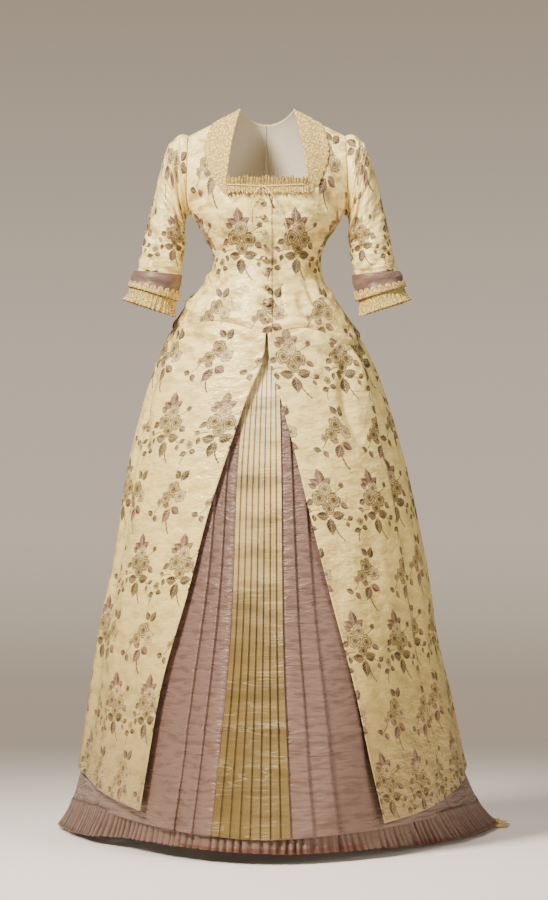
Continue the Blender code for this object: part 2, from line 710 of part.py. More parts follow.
def train(side):
    """The back drapery and train of one side, pleated at the top of its back seam."""
    start = SIDE_ANGLE[side] - SIDE_LAP
    share = np.linspace(0, 1, 19)
    angle = start + (180 - 0.12 - start) * share
    top = edge(BODICE_EDGE, side * angle) - TOP_TUCK
    hem = edge(OVERSKIRT_HEM, side * np.maximum(angle, 30))
    rows = []
    downs = 1 - (1 - np.linspace(0, 1, 15)) ** 1.35
    for down in downs:
        drop = top + down * (hem - top)
        under = 1 - ease(angle, start + SIDE_LAP * 0.9, start + SIDE_LAP * 2.2)
        deep = SIDE_STEP + BACK_GATHER * ease(drop, 0.38, 0.45) * (1 - ease(drop, 0.55, 0.75))
        turn = 2 * np.pi * TRAIN_FOLDS * ease(angle, 118, 184) - np.pi
        swell = FOLD_DEPTH * ease(angle, 112, 132) * ease(drop, 0.42, 0.60)
        swell = swell * (1 - ease(drop, 1.20, 1.40) * 0.75)
        lift = -deep * under + swell * (1 + np.cos(turn)) / 2
        lift = lift + TOP_LIFT * (1 - ease(down, 0.01, 0.09))
        rows.append(on_skirt(side * angle, drop, lift))
    name = "train_left" if side == LEFT else "train_right"
    return wall(name, turned_for(side, np.array(rows)), BROCADE)


def underskirt_centre():
    """Satin knife pleats, wider towards the hem."""
    share, out = knife_pleats(CENTRE_PLEATS)
    rows = []
    for drop in np.linspace(SKIRT_TOP, 1.400, 7):
        right = -read(CENTRE, "right", drop)
        left = read(CENTRE, "left", drop)
        x = right + (left - right) * share
        angle = angle_of(SKIRT_RINGS, x, drop + 0 * x)
        depth = PLEAT_DEPTH * (0.5 + 0.5 * ease(drop, 0.40, 0.75))
        hem = edge(PANEL_HEM, angle) if drop > 1.399 else drop
        rows.append(on_skirt(angle, hem + 0 * x, UNDERSKIRT_LIFT + depth * out))
    return wall("underskirt_centre", np.array(rows), SATIN)


def underskirt_side(side):
    """Taffeta knife pleats beside the satin, then a plain panel to the side seam."""
    name_of = "left" if side == LEFT else "right"
    share, out = knife_pleats(SIDE_PLEATS)
    pleat_end = 0.50
    plain = np.linspace(pleat_end, 1, 6)[1:]
    share = np.concatenate([share * pleat_end, plain])
    out = np.concatenate([out, 0 * plain])
    rows = []
    for down in np.linspace(0, 1, 8):
        drop = SKIRT_TOP + down * 0.985
        x = side * (read(CENTRE, name_of, drop) - PANEL_LAP)
        start = float(side * angle_of(SKIRT_RINGS, np.array(x), drop))
        end = PANEL_TOP_ANGLE + (PANEL_ANGLE - PANEL_TOP_ANGLE) * ease(drop, 0.75, 1.2)
        angle = start + (end - start) * share
        hem = edge(PANEL_HEM, side * angle)
        drop = SKIRT_TOP + down * (hem - SKIRT_TOP)
        low = ease(angle, 40, 57) * ease(drop, 1.05, 1.25)
        base = UNDERSKIRT_LIFT + (BAND_LIFT - UNDERSKIRT_LIFT) * low
        base = base - PANEL_STEP[side] * (share == 0)
        depth = PLEAT_DEPTH * (0.5 + 0.5 * ease(drop, 0.40, 0.75))
        rows.append(on_skirt(side * angle, drop, base + depth * out))
    return wall(f"underskirt_side_{name_of}", turned_for(side, np.array(rows)), TAFFETA)


def skirt_band(side):
    """Plain taffeta that shows below the overskirt's hem, from the side seam back."""
    angle = even_angles(PANEL_ANGLE - 0.8, 118, 12, side)
    hem = edge(PANEL_HEM, side * angle)
    top = np.minimum(edge(OVERSKIRT_HEM, side * angle) - 0.040, hem - 0.030)
    lift = BAND_LIFT - 0.0060 * (1 - ease(angle, PANEL_ANGLE, PANEL_ANGLE + 4))
    rows = [
        on_skirt(side * angle, top + down * (hem - top), lift)
        for down in np.linspace(0, 1, 4)
    ]
    name = "skirt_band_left" if side == LEFT else "skirt_band_right"
    return wall(name, turned_for(side, np.array(rows)), TAFFETA)


def hem_ruffle(length):
    """Gathered taffeta, sewn under the panels' hem and flaring to the floor."""
    share, out = zigzag(length.waves)
    trim = 0.10
    angle = even_angles(length.start + trim, length.end - trim, len(share))
    front = 1 - ease(np.abs(angle), 41, 47)
    far = ease(np.abs(angle), 118.5, 126)
    panel = edge(PANEL_HEM, np.clip(angle, -118, 118))
    brocade = edge(OVERSKIRT_HEM, np.sign(angle) * np.maximum(np.abs(angle), 30))
    lap = 0.016 * (1 - ease(np.abs(angle), 36, 40)) - 0.0020 + 0.008 * ease(np.abs(angle), 47, 51)
    lap = lap - 0.008 * ease(np.abs(angle), 98, 103) * (1 - ease(np.abs(angle), 126, 134))
    top = np.where(np.abs(angle) > 118, brocade, panel) - lap
    hem = edge(RUFFLE_HEM, angle)
    rows = []
    for down, flare, deep in ((0.0, 0.0, 0.35), (0.35, 0.55, 0.8), (1.0, 1.0, 1.0)):
        drop = top + down * (hem - top)
        sewn = BAND_LIFT + 0.0030 - 0.0036 * far
        base = RUFFLE_LIFT * front + (1 - front) * (sewn + 0.0090 * flare + 0.0100 * far * flare)
        depth = RUFFLE_DEPTH * deep * (1 - 0.45 * front)
        rows.append(on_skirt(angle, drop, base + depth * out))
    return wall(length.name, np.array(rows), TAFFETA, LACE)


def dust_frill():
    """Lace under the ruffle at the train's left side, where it peeps out on the floor."""
    share, out = zigzag(DUST_WAVES)
    angle = even_angles(86, 128, len(share))
    tucked = on_skirt(angle, 1.432, -0.0108)
    turned = on_skirt(angle, 1.4485, -0.009)
    away = turned[:, :2] - np.array([0.0, 0.40])
    away /= np.linalg.norm(away, axis=1, keepdims=True)
    spread = turned.copy()
    turned[:, 2] = spread[:, 2] = DUST_TOP
    spread[:, :2] += away * (0.030 + 0.003 * out)[:, None]
    return wall("dust_frill", np.array([tucked, turned, spread]), NET, LACE)


for old in list(bpy.data.objects):
    bpy.data.objects.remove(old)
DRESS = bpy.data.collections.new("trained_dress")
bpy.context.scene.collection.children.link(DRESS)

for each_side in (RIGHT, LEFT):
    bodice_front(each_side)
    bodice_back(each_side)
    sleeve(each_side)
    cuff(each_side)
    cuff_frill(each_side)
    neck_lace_front(each_side)
    overskirt_front(each_side)
    train(each_side)
    underskirt_side(each_side)
    skirt_band(each_side)
neck_lace_back()
neck_frill()
underskirt_centre()
for each_ruffle in RUFFLES:
    hem_ruffle(each_ruffle)
dust_frill()
for count, each_button in enumerate(BUTTONS, 1):
    button(count, each_button)
for cord_name, cord_route in CORD_ROUTES.items():
    cord(cord_name, cord_route)
knot()
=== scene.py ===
from collections import namedtuple

import bmesh
import bpy
import numpy as np
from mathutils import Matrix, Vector


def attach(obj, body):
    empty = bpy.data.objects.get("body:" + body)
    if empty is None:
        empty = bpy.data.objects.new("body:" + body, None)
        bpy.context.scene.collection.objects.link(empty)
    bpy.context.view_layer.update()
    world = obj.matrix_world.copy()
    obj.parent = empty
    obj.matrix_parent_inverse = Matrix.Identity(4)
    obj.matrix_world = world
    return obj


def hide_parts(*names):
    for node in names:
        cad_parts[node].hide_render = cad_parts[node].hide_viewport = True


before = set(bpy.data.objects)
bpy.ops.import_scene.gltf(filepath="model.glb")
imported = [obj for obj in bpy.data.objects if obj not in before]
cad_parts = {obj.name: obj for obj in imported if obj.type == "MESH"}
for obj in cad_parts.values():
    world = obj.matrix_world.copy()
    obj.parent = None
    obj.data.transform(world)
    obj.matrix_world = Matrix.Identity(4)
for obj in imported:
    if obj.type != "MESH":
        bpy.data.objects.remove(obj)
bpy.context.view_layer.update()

# The camera stands 7.7 m in front of the dress at the height of its hips, with a long lens,
# so that hardly anything of the dress is drawn larger than the rest.
CAMERA_PLACE = (0.014, -7.7, -0.65)
camera_lens = bpy.data.cameras.new("portrait_lens")
camera_lens.lens = 154.0
camera_lens.sensor_fit = "VERTICAL"
camera_lens.sensor_height = 36.0
camera = bpy.data.objects.new("portrait_camera", camera_lens)
camera.location = CAMERA_PLACE
camera.rotation_euler = (np.pi / 2, 0, 0)
bpy.context.scene.collection.objects.link(camera)
bpy.context.scene.camera = camera

# The centre of the underskirt: silk satin laid in eight knife pleats that open towards the
# hem, sewn to the two taffeta sides. It hangs from the waist and shows between the fronts.
RIGHT, LEFT = -1, 1
Ring = namedtuple("Ring", "drop right left front back widest point")
SKIRT_RINGS = [
    Ring(0.380, 0.172, 0.155, 0.124, 0.136, 0.012, 1.00),
    Ring(0.430, 0.201, 0.188, 0.137, 0.163, 0.020, 1.00),
    Ring(0.535, 0.240, 0.234, 0.155, 0.205, 0.040, 1.02),
    Ring(0.680, 0.279, 0.279, 0.176, 0.258, 0.070, 1.06),
    Ring(0.870, 0.309, 0.320, 0.200, 0.330, 0.110, 1.12),
    Ring(1.040, 0.346, 0.348, 0.224, 0.405, 0.160, 1.20),
    Ring(1.170, 0.368, 0.381, 0.244, 0.480, 0.220, 1.30),
    Ring(1.300, 0.392, 0.413, 0.266, 0.600, 0.300, 1.42),
    Ring(1.370, 0.412, 0.443, 0.279, 0.710, 0.370, 1.52),
    Ring(1.415, 0.424, 0.462, 0.288, 0.810, 0.420, 1.60),
    Ring(1.440, 0.434, 0.478, 0.293, 0.890, 0.460, 1.65),
    Ring(1.450, 0.440, 0.490, 0.296, 0.940, 0.480, 1.65),
]
Opening = namedtuple("Opening", "drop right left")
CENTRE = [
    Opening(0.405, 0.0360, 0.0250),
    Opening(0.700, 0.0640, 0.0300),
    Opening(0.985, 0.0760, 0.0330),
    Opening(1.400, 0.1200, 0.0500),
]
Edge = namedtuple("Edge", "angle right left")
PANEL_HEM = [
    Edge(0, 1.401, 1.401),
    Edge(20, 1.397, 1.397),
    Edge(42, 1.391, 1.393),
    Edge(60, 1.380, 1.386),
    Edge(90, 1.386, 1.392),
    Edge(104, 1.356, 1.352),
    Edge(118, 1.312, 1.298),
]
# One pleat from fold to fold: share of its width, and how far it stands out.
PLEAT_SHARE = np.array([0.0, 0.06, 0.30, 0.62, 0.86, 0.945, 0.965, 0.950, 0.925])
PLEAT_OUT = np.array([0.0, 0.10, 0.34, 0.68, 0.93, 1.00, 0.86, 0.45, 0.08])
SKIRT_TOP = 0.405
CENTRE_FOOT = 1.400
CENTRE_PLEATS = 8
UNDERSKIRT_LIFT = -0.0160
PLEAT_DEPTH = 0.0058
# How far apart a surface is read to find its slope: degrees round it, metres down it.
STEP_ROUND, STEP_DOWN = 0.5, 0.001


def column(table, name):
    return np.array([getattr(row, name) for row in table], float)


def smooth(knots, values, at):
    """Values between the knots of a table, on a curve that doesn't overshoot them."""
    at = np.clip(np.asarray(at, float), knots[0], knots[-1])
    step = np.diff(knots)
    rise = np.diff(values) / step
    both = rise[1:] * rise[:-1]
    middle = np.where(both > 0, 2 * both / np.where(both > 0, rise[1:] + rise[:-1], 1), 0)
    slope = np.concatenate([[rise[0]], middle, [rise[-1]]])
    i = np.clip(np.searchsorted(knots, at) - 1, 0, len(step) - 1)
    t = (at - knots[i]) / step[i]
    return (
        values[i] * (1 + 2 * t) * (1 - t) ** 2
        + slope[i] * step[i] * t * (1 - t) ** 2
        + values[i + 1] * t * t * (3 - 2 * t)
        - slope[i + 1] * step[i] * t * t * (1 - t)
    )


def read(table, name, at):
    return smooth(column(table, table[0]._fields[0]), column(table, name), at)


def by_side(table, angle, at):
    """A table's right or left column, by the angle's side, eased across the middle."""
    share = 0.5 + 0.5 * np.clip(np.sin(np.radians(angle)) / 0.10, -1, 1)
    return read(table, "right", at) * (1 - share) + read(table, "left", at) * share


def edge(table, angle):
    return by_side(table, angle, np.abs(angle))


def ease(value, start, end):
    t = np.clip((value - start) / (end - start), 0, 1)
    return t * t * (3 - 2 * t)


def ring_point(rings, angle, drop):
    """A garment's ring: angle in degrees, 0 in front, 90 at the left and 180 behind."""
    cosine = np.cos(np.radians(angle))
    widest = read(rings, "widest", drop)
    reach = widest + read(rings, "front", drop)
    forward = widest - reach * np.abs(cosine) ** read(rings, "point", drop)
    behind = widest + (read(rings, "back", drop) - widest) * np.abs(cosine) ** 0.85
    x = by_side(rings, angle, drop) * np.sin(np.radians(angle))
    return np.stack([x, np.where(cosine > 0, forward, behind), -drop], -1)


def skirt_point(angle, drop):
    return ring_point(SKIRT_RINGS, angle, drop)


def moved_out(surface, u, v, lift, step_u, step_v):
    """A surface's points, moved out along its normal. u runs to the left, v down."""
    across = surface(u + step_u, v) - surface(u - step_u, v)
    down = surface(u, v + step_v) - surface(u, v - step_v)
    normal = np.cross(down, across)
    normal /= np.maximum(np.linalg.norm(normal, axis=-1, keepdims=True), 1e-12)
    return surface(u, v) + normal * np.broadcast_to(lift, u.shape)[..., None]


def on_skirt(angle, drop, lift=0.0):
    angle, drop = np.broadcast_arrays(angle, drop)
    return moved_out(skirt_point, angle, drop, lift, STEP_ROUND, STEP_DOWN)


def angle_of(rings, x, drop):
    """The angle in front at which a ring is x from the middle."""
    half = by_side(rings, np.where(x < 0, -90.0, 90.0), drop)
    return np.degrees(np.arcsin(np.clip(x / half, -1, 1)))


def waver(along, seed, size=1.0):
    """A gentle uneven number between -1 and 1 that changes slowly along something."""
    made = 0.0
    for octave, share in ((1.0, 0.55), (2.3, 0.30), (4.9, 0.15)):
        made = made + share * np.sin(along * octave / size + seed * 12.9898 * octave)
    return made


def knife_pleats(count):
    share = (np.arange(count)[:, None] + PLEAT_SHARE) / count
    return np.append(share.ravel(), 1.0), np.append(np.tile(PLEAT_OUT, count), 0.0)


def lay_cloth(name, points, across, down, cloth, thickness=0.0010, closed=False, keep=None,
              lining=None):
    """A shell of cloth through a grid of points, rows from the top down and columns
    to the left. across and down are the places on the flat cloth, in metres."""
    rows, columns = points.shape[:2]
    index = np.arange(rows * columns).reshape(rows, columns)
    after = np.roll(index, -1, axis=1) if closed else index[:, 1:]
    before = index if closed else index[:, :-1]
    faces = np.stack([before[:-1], before[1:], after[1:], after[:-1]], -1)
    if keep is not None:
        faces = faces[keep]
    faces = faces.reshape(-1, 4)
    across, down = np.broadcast_arrays(across, down)
    flat = np.stack([across.ravel(), down.ravel()], -1)[faces.ravel()]
    if closed:
        wraps = np.repeat((faces[:, 3] % columns < faces[:, 0] % columns), 4)
        turned = flat[:, 0] < across.max() / 2
        flat[:, 0] += np.where(wraps & turned, across.max() + across[0, 1] - across[0, 0], 0)
    mesh = bpy.data.meshes.new(name)
    mesh.from_pydata(points.reshape(-1, 3).tolist(), [], faces.tolist())
    layout = mesh.uv_layers.new(name="cloth")
    layout.data.foreach_set("uv", flat.ravel())
    work = bmesh.new()
    work.from_mesh(mesh)
    bmesh.ops.delete(work, geom=[v for v in work.verts if not v.link_faces], context="VERTS")
    work.to_mesh(mesh)
    work.free()
    mesh.materials.append(cloth)
    mesh.materials.append(lining or cloth)
    shell = bpy.data.objects.new(name, mesh)
    bpy.context.scene.collection.objects.link(shell)
    wall = shell.modifiers.new("cloth wall", "SOLIDIFY")
    wall.thickness = thickness
    wall.offset = -1
    wall.material_offset = 1
    made = bpy.data.meshes.new_from_object(
        shell.evaluated_get(bpy.context.evaluated_depsgraph_get())
    )
    shell.modifiers.remove(wall)
    shell.data = made
    made.name = name
    made.shade_smooth()
    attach(shell, "root")
    return shell


def flat_size(piece):
    """The area of cloth that a piece shows, from its shell's two faces."""
    return sum(face.area for face in piece.data.polygons) / 2


def new_cloth(name, roughness, sheen=0.0, sheen_roughness=0.4, anisotropic=0.0):
    """A fabric's material, with its shader and node tree, and the cloth's own layout."""
    made = bpy.data.materials.new(name)
    made.use_nodes = True
    tree = made.node_tree
    shader = tree.nodes["Principled BSDF"]
    shader.inputs["Roughness"].default_value = roughness
    shader.inputs["Sheen Weight"].default_value = sheen
    shader.inputs["Sheen Roughness"].default_value = sheen_roughness
    shader.inputs["Sheen Tint"].default_value = (1.0, 0.87, 0.66, 1)
    shader.inputs["Specular Tint"].default_value = (1.0, 0.87, 0.64, 1)
    shader.inputs["Anisotropic"].default_value = anisotropic
    layout = tree.nodes.new("ShaderNodeUVMap")
    layout.uv_map = "cloth"
    return made, tree, shader, layout.outputs["UV"]


def joined(tree, kind, *values, operation=None, **settings):
    """A node of a kind, with sockets or numbers put in its inputs in order."""
    node = tree.nodes.new(kind)
    if operation:
        node.operation = operation
    for setting, value in settings.items():
        setattr(node, setting, value)
    for socket, value in zip(node.inputs, values, strict=False):
        if isinstance(value, bpy.types.NodeSocket):
            tree.links.new(value, socket)
        elif value is not None:
            socket.default_value = value
    return node.outputs[0]


def maths(tree, operation, *values, clamp=False):
    return joined(tree, "ShaderNodeMath", *values, operation=operation, use_clamp=clamp)


def span(tree, value, low, high, first=0.0, last=1.0):
    """A value's place between a low and a high one, as a number from first to last."""
    return joined(tree, "ShaderNodeMapRange", value, low, high, first, last)


def ramped(tree, value, first, last, *between):
    """A colour ramp from a first colour to a last, with others placed between them."""
    ramp = tree.nodes.new("ShaderNodeValToRGB")
    tree.links.new(value, ramp.inputs[0])
    ramp.color_ramp.elements[0].color = first
    ramp.color_ramp.elements[1].color = last
    for at, colour in between:
        ramp.color_ramp.elements.new(at).color = colour
    return ramp.outputs[0]


def blended(tree, factor, first, second):
    """Two colours mixed by a factor, each a socket or a value."""
    node = tree.nodes.new("ShaderNodeMix")
    node.data_type = "RGBA"
    for socket, value in ((0, factor), (6, first), (7, second)):
        if isinstance(value, bpy.types.NodeSocket):
            tree.links.new(value, node.inputs[socket])
        else:
            node.inputs[socket].default_value = value
    return node.outputs[2]


def stretched(tree, layout, scale):
    """The cloth's layout multiplied by a number each way."""
    return joined(tree, "ShaderNodeVectorMath", layout, (*scale, 1), operation="MULTIPLY")


def noise(tree, place, scale, detail=2.0, roughness=0.5):
    node = tree.nodes.new("ShaderNodeTexNoise")
    tree.links.new(place, node.inputs["Vector"])
    node.inputs["Scale"].default_value = scale
    node.inputs["Detail"].default_value = detail
    node.inputs["Roughness"].default_value = roughness
    return node.outputs["Fac"]


def raised(tree, shader, *heights):
    """Bumps stacked on each other. Each is a height's socket, its distance and strength."""
    normal = None
    for height, distance, strength in heights:
        bump = tree.nodes.new("ShaderNodeBump")
        bump.inputs["Distance"].default_value = distance
        bump.inputs["Strength"].default_value = strength
        tree.links.new(height, bump.inputs["Height"])
        if normal is not None:
            tree.links.new(normal, bump.inputs["Normal"])
        normal = bump.outputs["Normal"]
    tree.links.new(normal, shader.inputs["Normal"])


def height_share(tree, low, high):
    """0 at one height of the dress and 1 at another."""
    place = tree.nodes.new("ShaderNodeTexCoord").outputs["Object"]
    height = joined(tree, "ShaderNodeSeparateXYZ", place).node.outputs["Z"]
    return span(tree, height, low, high)


def creased(tree, layout, scale, narrow):
    """Fine lines of old creases, broken up, as heights."""
    place = stretched(tree, layout, scale)
    lines = maths(tree, "ABSOLUTE",
                  maths(tree, "SUBTRACT", noise(tree, place, 1.0, 2.0, 0.5), 0.5))
    lines = span(tree, lines, 0.0, narrow, 1.0, 0.0)
    patches = noise(tree, stretched(tree, layout, (scale[0] * 0.6, scale[1] * 0.3)), 1.0, 1.0)
    patches = span(tree, patches, 0.46, 0.60)
    return maths(tree, "MULTIPLY", lines, patches)


def satin():
    made, tree, shader, layout = new_cloth("pleated_satin", 0.44, 0.06, 0.35, 0.20)
    # Olive and darker at the hem and cream towards the waist: partly the satin's own colour and
    # partly painted shade.
    ground = ramped(tree, height_share(tree, -1.38, -0.42), (0.165, 0.105, 0.030, 1),
                    (0.98, 0.82, 0.46, 1), (0.35, (0.195, 0.125, 0.038, 1)),
                    (0.72, (0.66, 0.49, 0.21, 1)))
    # Painted shade: broad horizontal patches of darker colour, for the satin's uneven sheen.
    clouds = noise(tree, stretched(tree, layout, (6.0, 22.0)), 1.0, 3.0, 0.6)
    stain_and_shade = blended(tree, span(tree, clouds, 0.40, 0.65, 0.0, 0.60), ground,
                      (0.100, 0.060, 0.015, 1))
    lines = creased(tree, layout, (9.0, 75.0), 0.030)
    # Painted highlights: pale glints laid along the old crease lines.
    painted_crease_glints = blended(tree, maths(tree, "MULTIPLY", lines, 0.16), stain_and_shade, (0.92, 0.80, 0.50, 1))
    tree.links.new(painted_crease_glints, shader.inputs["Base Color"])
    threads = noise(tree, stretched(tree, layout, (1800.0, 90.0)), 1.0, 1.0)
    creases = noise(tree, stretched(tree, layout, (9.0, 55.0)), 1.0, 3.0, 0.55)
    raised(tree, shader, (threads, 0.0002, 0.25), (creases, 0.0055, 0.5), (lines, 0.0010, 0.5))
    return made


share, out = knife_pleats(CENTRE_PLEATS)
drop = np.linspace(SKIRT_TOP, CENTRE_FOOT, 240)[:, None]
# Old fold lines across the satin: drop, height and width.
SATIN_CREASES = [(0.705, 0.0007, 0.004), (0.842, 0.0009, 0.005), (1.020, 0.0006, 0.006),
                 (1.190, 0.0026, 0.006), (1.268, 0.0018, 0.005), (1.348, 0.0008, 0.006)]
right = -read(CENTRE, "right", drop)
left = read(CENTRE, "left", drop)
x = right + (left - right) * share
angle = angle_of(SKIRT_RINGS, x, drop + 0 * x)
depth = PLEAT_DEPTH * (0.5 + 0.5 * ease(drop, 0.40, 0.75))
pleat = np.floor(share * CENTRE_PLEATS - 1e-6)
lift = UNDERSKIRT_LIFT + depth * out * (1 + 0.10 * waver(drop * 14 + pleat, 0.3))
for at, high, wide in SATIN_CREASES:
    offset = drop - at - 0.006 * waver(pleat * 1.7 + at * 40, 0.7)
    lift = lift + high * out * np.exp(-((offset / wide) ** 2))
hem = edge(PANEL_HEM, angle)
down = (drop - SKIRT_TOP) / (CENTRE_FOOT - SKIRT_TOP)
fall = SKIRT_TOP + down * (hem - SKIRT_TOP)
# The last pleat but one is caught back on itself just above the hem.
twist = np.exp(-(((pleat - 6.2) / 0.5) ** 2)) * ease(drop, 1.31, CENTRE_FOOT)
lift = lift + 0.004 * twist * np.sin(np.pi * (share * CENTRE_PLEATS - pleat))
PLEATED_SATIN = satin()
centre_panel = lay_cloth("pleated_centre", on_skirt(angle, fall, lift), x, fall, PLEATED_SATIN)
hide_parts("underskirt_centre")

# The sides of the underskirt: plain-woven silk taffeta, three knife pleats each beside the
# satin and then a plain panel round to the side seam, hemmed by hand over the ruffle.
PANEL_LAP = 0.0045
PANEL_STEP = {RIGHT: 0.0037, LEFT: 0.0022}
PANEL_ANGLE = 58.0
PANEL_TOP_ANGLE = 47.0
BAND_LIFT = -0.0085
TAFFETA_COLOUR = (0.178, 0.100, 0.074, 1)
TAFFETA_LIGHT = (0.218, 0.138, 0.110, 1)
TAFFETA_DEEP = (0.080, 0.034, 0.022, 1)
# Where the folded edges of the three pleats lie across a side, from the satin outwards.
SIDE_FOLDS = np.array([0.0, 0.13, 0.26, 0.47])
SIDE_PLEAT_DEPTH = 0.0066
SIDE_LONG = 0.985
SIDE_FLAT_WIDE = 0.62


def taffeta(name, fold=1.0):
    made, tree, shader, layout = new_cloth(name, 0.42, 0.12, 0.45, 0.15)
    slubs = noise(tree, stretched(tree, layout, (16.0, 620.0)), 1.0, 2.0, 0.6)
    wrinkles = noise(tree, stretched(tree, layout, (11.0, 84.0)), 1.0, 3.0, 0.55)
    faded = noise(tree, stretched(tree, layout, (5.0, 9.0)), 1.0, 2.0)
    colour = blended(tree, maths(tree, "MULTIPLY", slubs, 0.22), TAFFETA_COLOUR, TAFFETA_DEEP)
    colour = blended(tree, maths(tree, "MULTIPLY", faded, 0.45), colour, TAFFETA_LIGHT)
    # Painted shade: the colour darkens in the hollows of the wrinkles, more for a larger fold.
    painted_trough_shade = span(tree, wrinkles, 0.38, 0.50, 0.38 * fold, 0.0)
    colour = blended(tree, painted_trough_shade, colour, (0.050, 0.020, 0.014, 1))
    tree.links.new(colour, shader.inputs["Base Color"])
    weave = noise(tree, stretched(tree, layout, (900.0, 900.0)), 1.0, 1.0)
    lines = creased(tree, layout, (4.0, 34.0), 0.050)
    raised(tree, shader, (weave, 0.0002, 0.25), (slubs, 0.0003, 0.35),
           (wrinkles, 0.0045, 1.0 * fold),
           (lines, 0.0018, 0.8 * fold))
    return made


TAFFETA = taffeta("mauve_taffeta")
# Old fold lines across the taffeta: drop, height and half-width.
TAFFETA_CREASES = [(0.705, 0.0008, 0.003), (0.842, 0.0010, 0.004), (1.082, 0.0011, 0.004),
                   (1.196, 0.0020, 0.004), (1.310, 0.0009, 0.004)]
for side, word in ((RIGHT, "right"), (LEFT, "left")):
    # The folds face the wearer's left, and each laps over the cloth beside it.
    first, fold, rise = [], PLEAT_SHARE, PLEAT_OUT
    if side == RIGHT:
        first, fold, rise = [0.0], 1 - PLEAT_SHARE[::-1], PLEAT_OUT[::-1]
    facing = fold * np.diff(SIDE_FOLDS)[:, None]
    folds = (SIDE_FOLDS[:-1, None] + facing).ravel()
    plain = np.linspace(SIDE_FOLDS[-1], 1, 32)[1:]
    share = np.concatenate([first, folds, plain])
    out = np.concatenate([first, np.tile(rise, 3), 0.0 * plain])
    down = np.linspace(0, 1, 240)[:, None]
    guess = SKIRT_TOP + down * SIDE_LONG
    x = side * (read(CENTRE, word, guess) - PANEL_LAP)
    start = side * angle_of(SKIRT_RINGS, x, guess)
    end = PANEL_TOP_ANGLE + (PANEL_ANGLE - PANEL_TOP_ANGLE) * ease(guess, 0.75, 1.2)
    angle = start + (end - start) * share
    hem = edge(PANEL_HEM, side * angle)
    drop = SKIRT_TOP + down * (hem - SKIRT_TOP)
    low = ease(angle, 40, 57) * ease(drop, 1.05, 1.25)
    lift = UNDERSKIRT_LIFT + (BAND_LIFT - UNDERSKIRT_LIFT) * low
    lift = lift - PANEL_STEP[side] * (1 - ease(share, 0.0, 0.04))
    depth = SIDE_PLEAT_DEPTH * (0.5 + 0.5 * ease(drop, 0.40, 0.75))
    lift = lift + depth * out * (1 + 0.12 * waver(drop * 12 + 4 * share, 1.3 * side))
    for at, high, wide in TAFFETA_CREASES:
        offset = drop - at - 0.005 * waver(share * 7 + at * 30, side)
        lift = lift + high * np.exp(-((offset / wide) ** 2)) * (0.4 + out)
    puckers = waver(drop * 60 + 3 * waver(share * 9, 2.1), 0.4 * side) * ease(drop, 0.80, 1.05)
    lift = lift + 0.0006 * puckers * ease(share, 0.1, 0.3) * (1 - ease(share, 0.9, 1.0))
    across = share * SIDE_FLAT_WIDE
    piece = lay_cloth(f"taffeta_side_{word}", on_skirt(side * angle, drop, lift)[:, ::side],
                      across[::side], drop[:, ::side], TAFFETA)
    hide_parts(f"underskirt_side_{word}")

# The band round the back of the underskirt: plain taffeta that shows below the overskirt's
# slanting hem, joined at the side seams and edged with a narrow fold above the ruffle.
BAND_END = 119.8
BAND_FLAT_WIDE = 0.62
OVERSKIRT_HEM = [
    Edge(30, 1.372, 1.384),
    Edge(48, 1.352, 1.366),
    Edge(70, 1.318, 1.330),
    Edge(90, 1.302, 1.296),
    Edge(115, 1.300, 1.286),
    Edge(140, 1.330, 1.322),
    Edge(160, 1.390, 1.386),
    Edge(180, 1.416, 1.416),
]


def even_angles(start, end, count, side=LEFT, drop=1.38):
    """Angles that stand evenly along the skirt's ring at a drop."""
    fine = np.linspace(start, end, 400)
    path = skirt_point(side * fine, drop + 0 * fine)
    along = np.concatenate([[0], np.cumsum(np.linalg.norm(np.diff(path, axis=0), axis=1))])
    return np.interp(np.linspace(0, along[-1], count), along, fine)


for side, word in ((RIGHT, "right"), (LEFT, "left")):
    # Its back end runs on a little, under the gathers of the train.
    angle = even_angles(PANEL_ANGLE - 0.8, BAND_END, 110, side)
    hem = edge(PANEL_HEM, side * angle)
    top = np.minimum(edge(OVERSKIRT_HEM, side * angle) - 0.040, hem - 0.030)
    down = np.linspace(0, 1, 30)[:, None]
    lift = BAND_LIFT - 0.0060 * (1 - ease(angle, PANEL_ANGLE, PANEL_ANGLE + 4)) + 0 * down
    lift = lift + 0.0011 * ease(down, 0.93, 0.97) + 0.0006 * waver(angle * 0.5 + down * 3, side)
    lift = lift - 0.0045 * ease(angle, 116.8, 118.4)
    across = np.linspace(0, BAND_FLAT_WIDE, len(angle))
    drop = top + down * (hem - top)
    piece = lay_cloth(f"taffeta_band_{word}", on_skirt(side * angle, drop, lift)[:, ::side],
                      across[::side], drop[:, ::side], TAFFETA)
    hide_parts(f"skirt_band_{word}")

# The hem ruffle: straight strips of taffeta gathered on a thread at their upper edge, with
# a raw lower edge that has turned rusty. Sewn on in five lengths round hem and train.
RUFFLE_HEM = [
    Edge(0, 1.426, 1.428),
    Edge(25, 1.428, 1.432),
    Edge(45, 1.432, 1.440),
    Edge(70, 1.446, 1.447),
    Edge(90, 1.447, 1.447),
    Edge(180, 1.448, 1.448),
]
Ruffle = namedtuple("Ruffle", "node start end gathers")
RUFFLES = [
    Ruffle("hem_ruffle_front", -44.0, 44.0, 42),
    Ruffle("hem_ruffle_side_left", 44.0, 104.0, 31),
    Ruffle("hem_ruffle_side_right", -104.0, -44.0, 31),
    Ruffle("hem_ruffle_train_left", 104.0, 180.0, 46),
    Ruffle("hem_ruffle_train_right", -180.0, -104.0, 46),
]
RUFFLE_DEPTH = 0.0086
RUFFLE_LIFT = -0.0226
POINTS_A_GATHER = 8
GATHER_FLAT = 0.0208


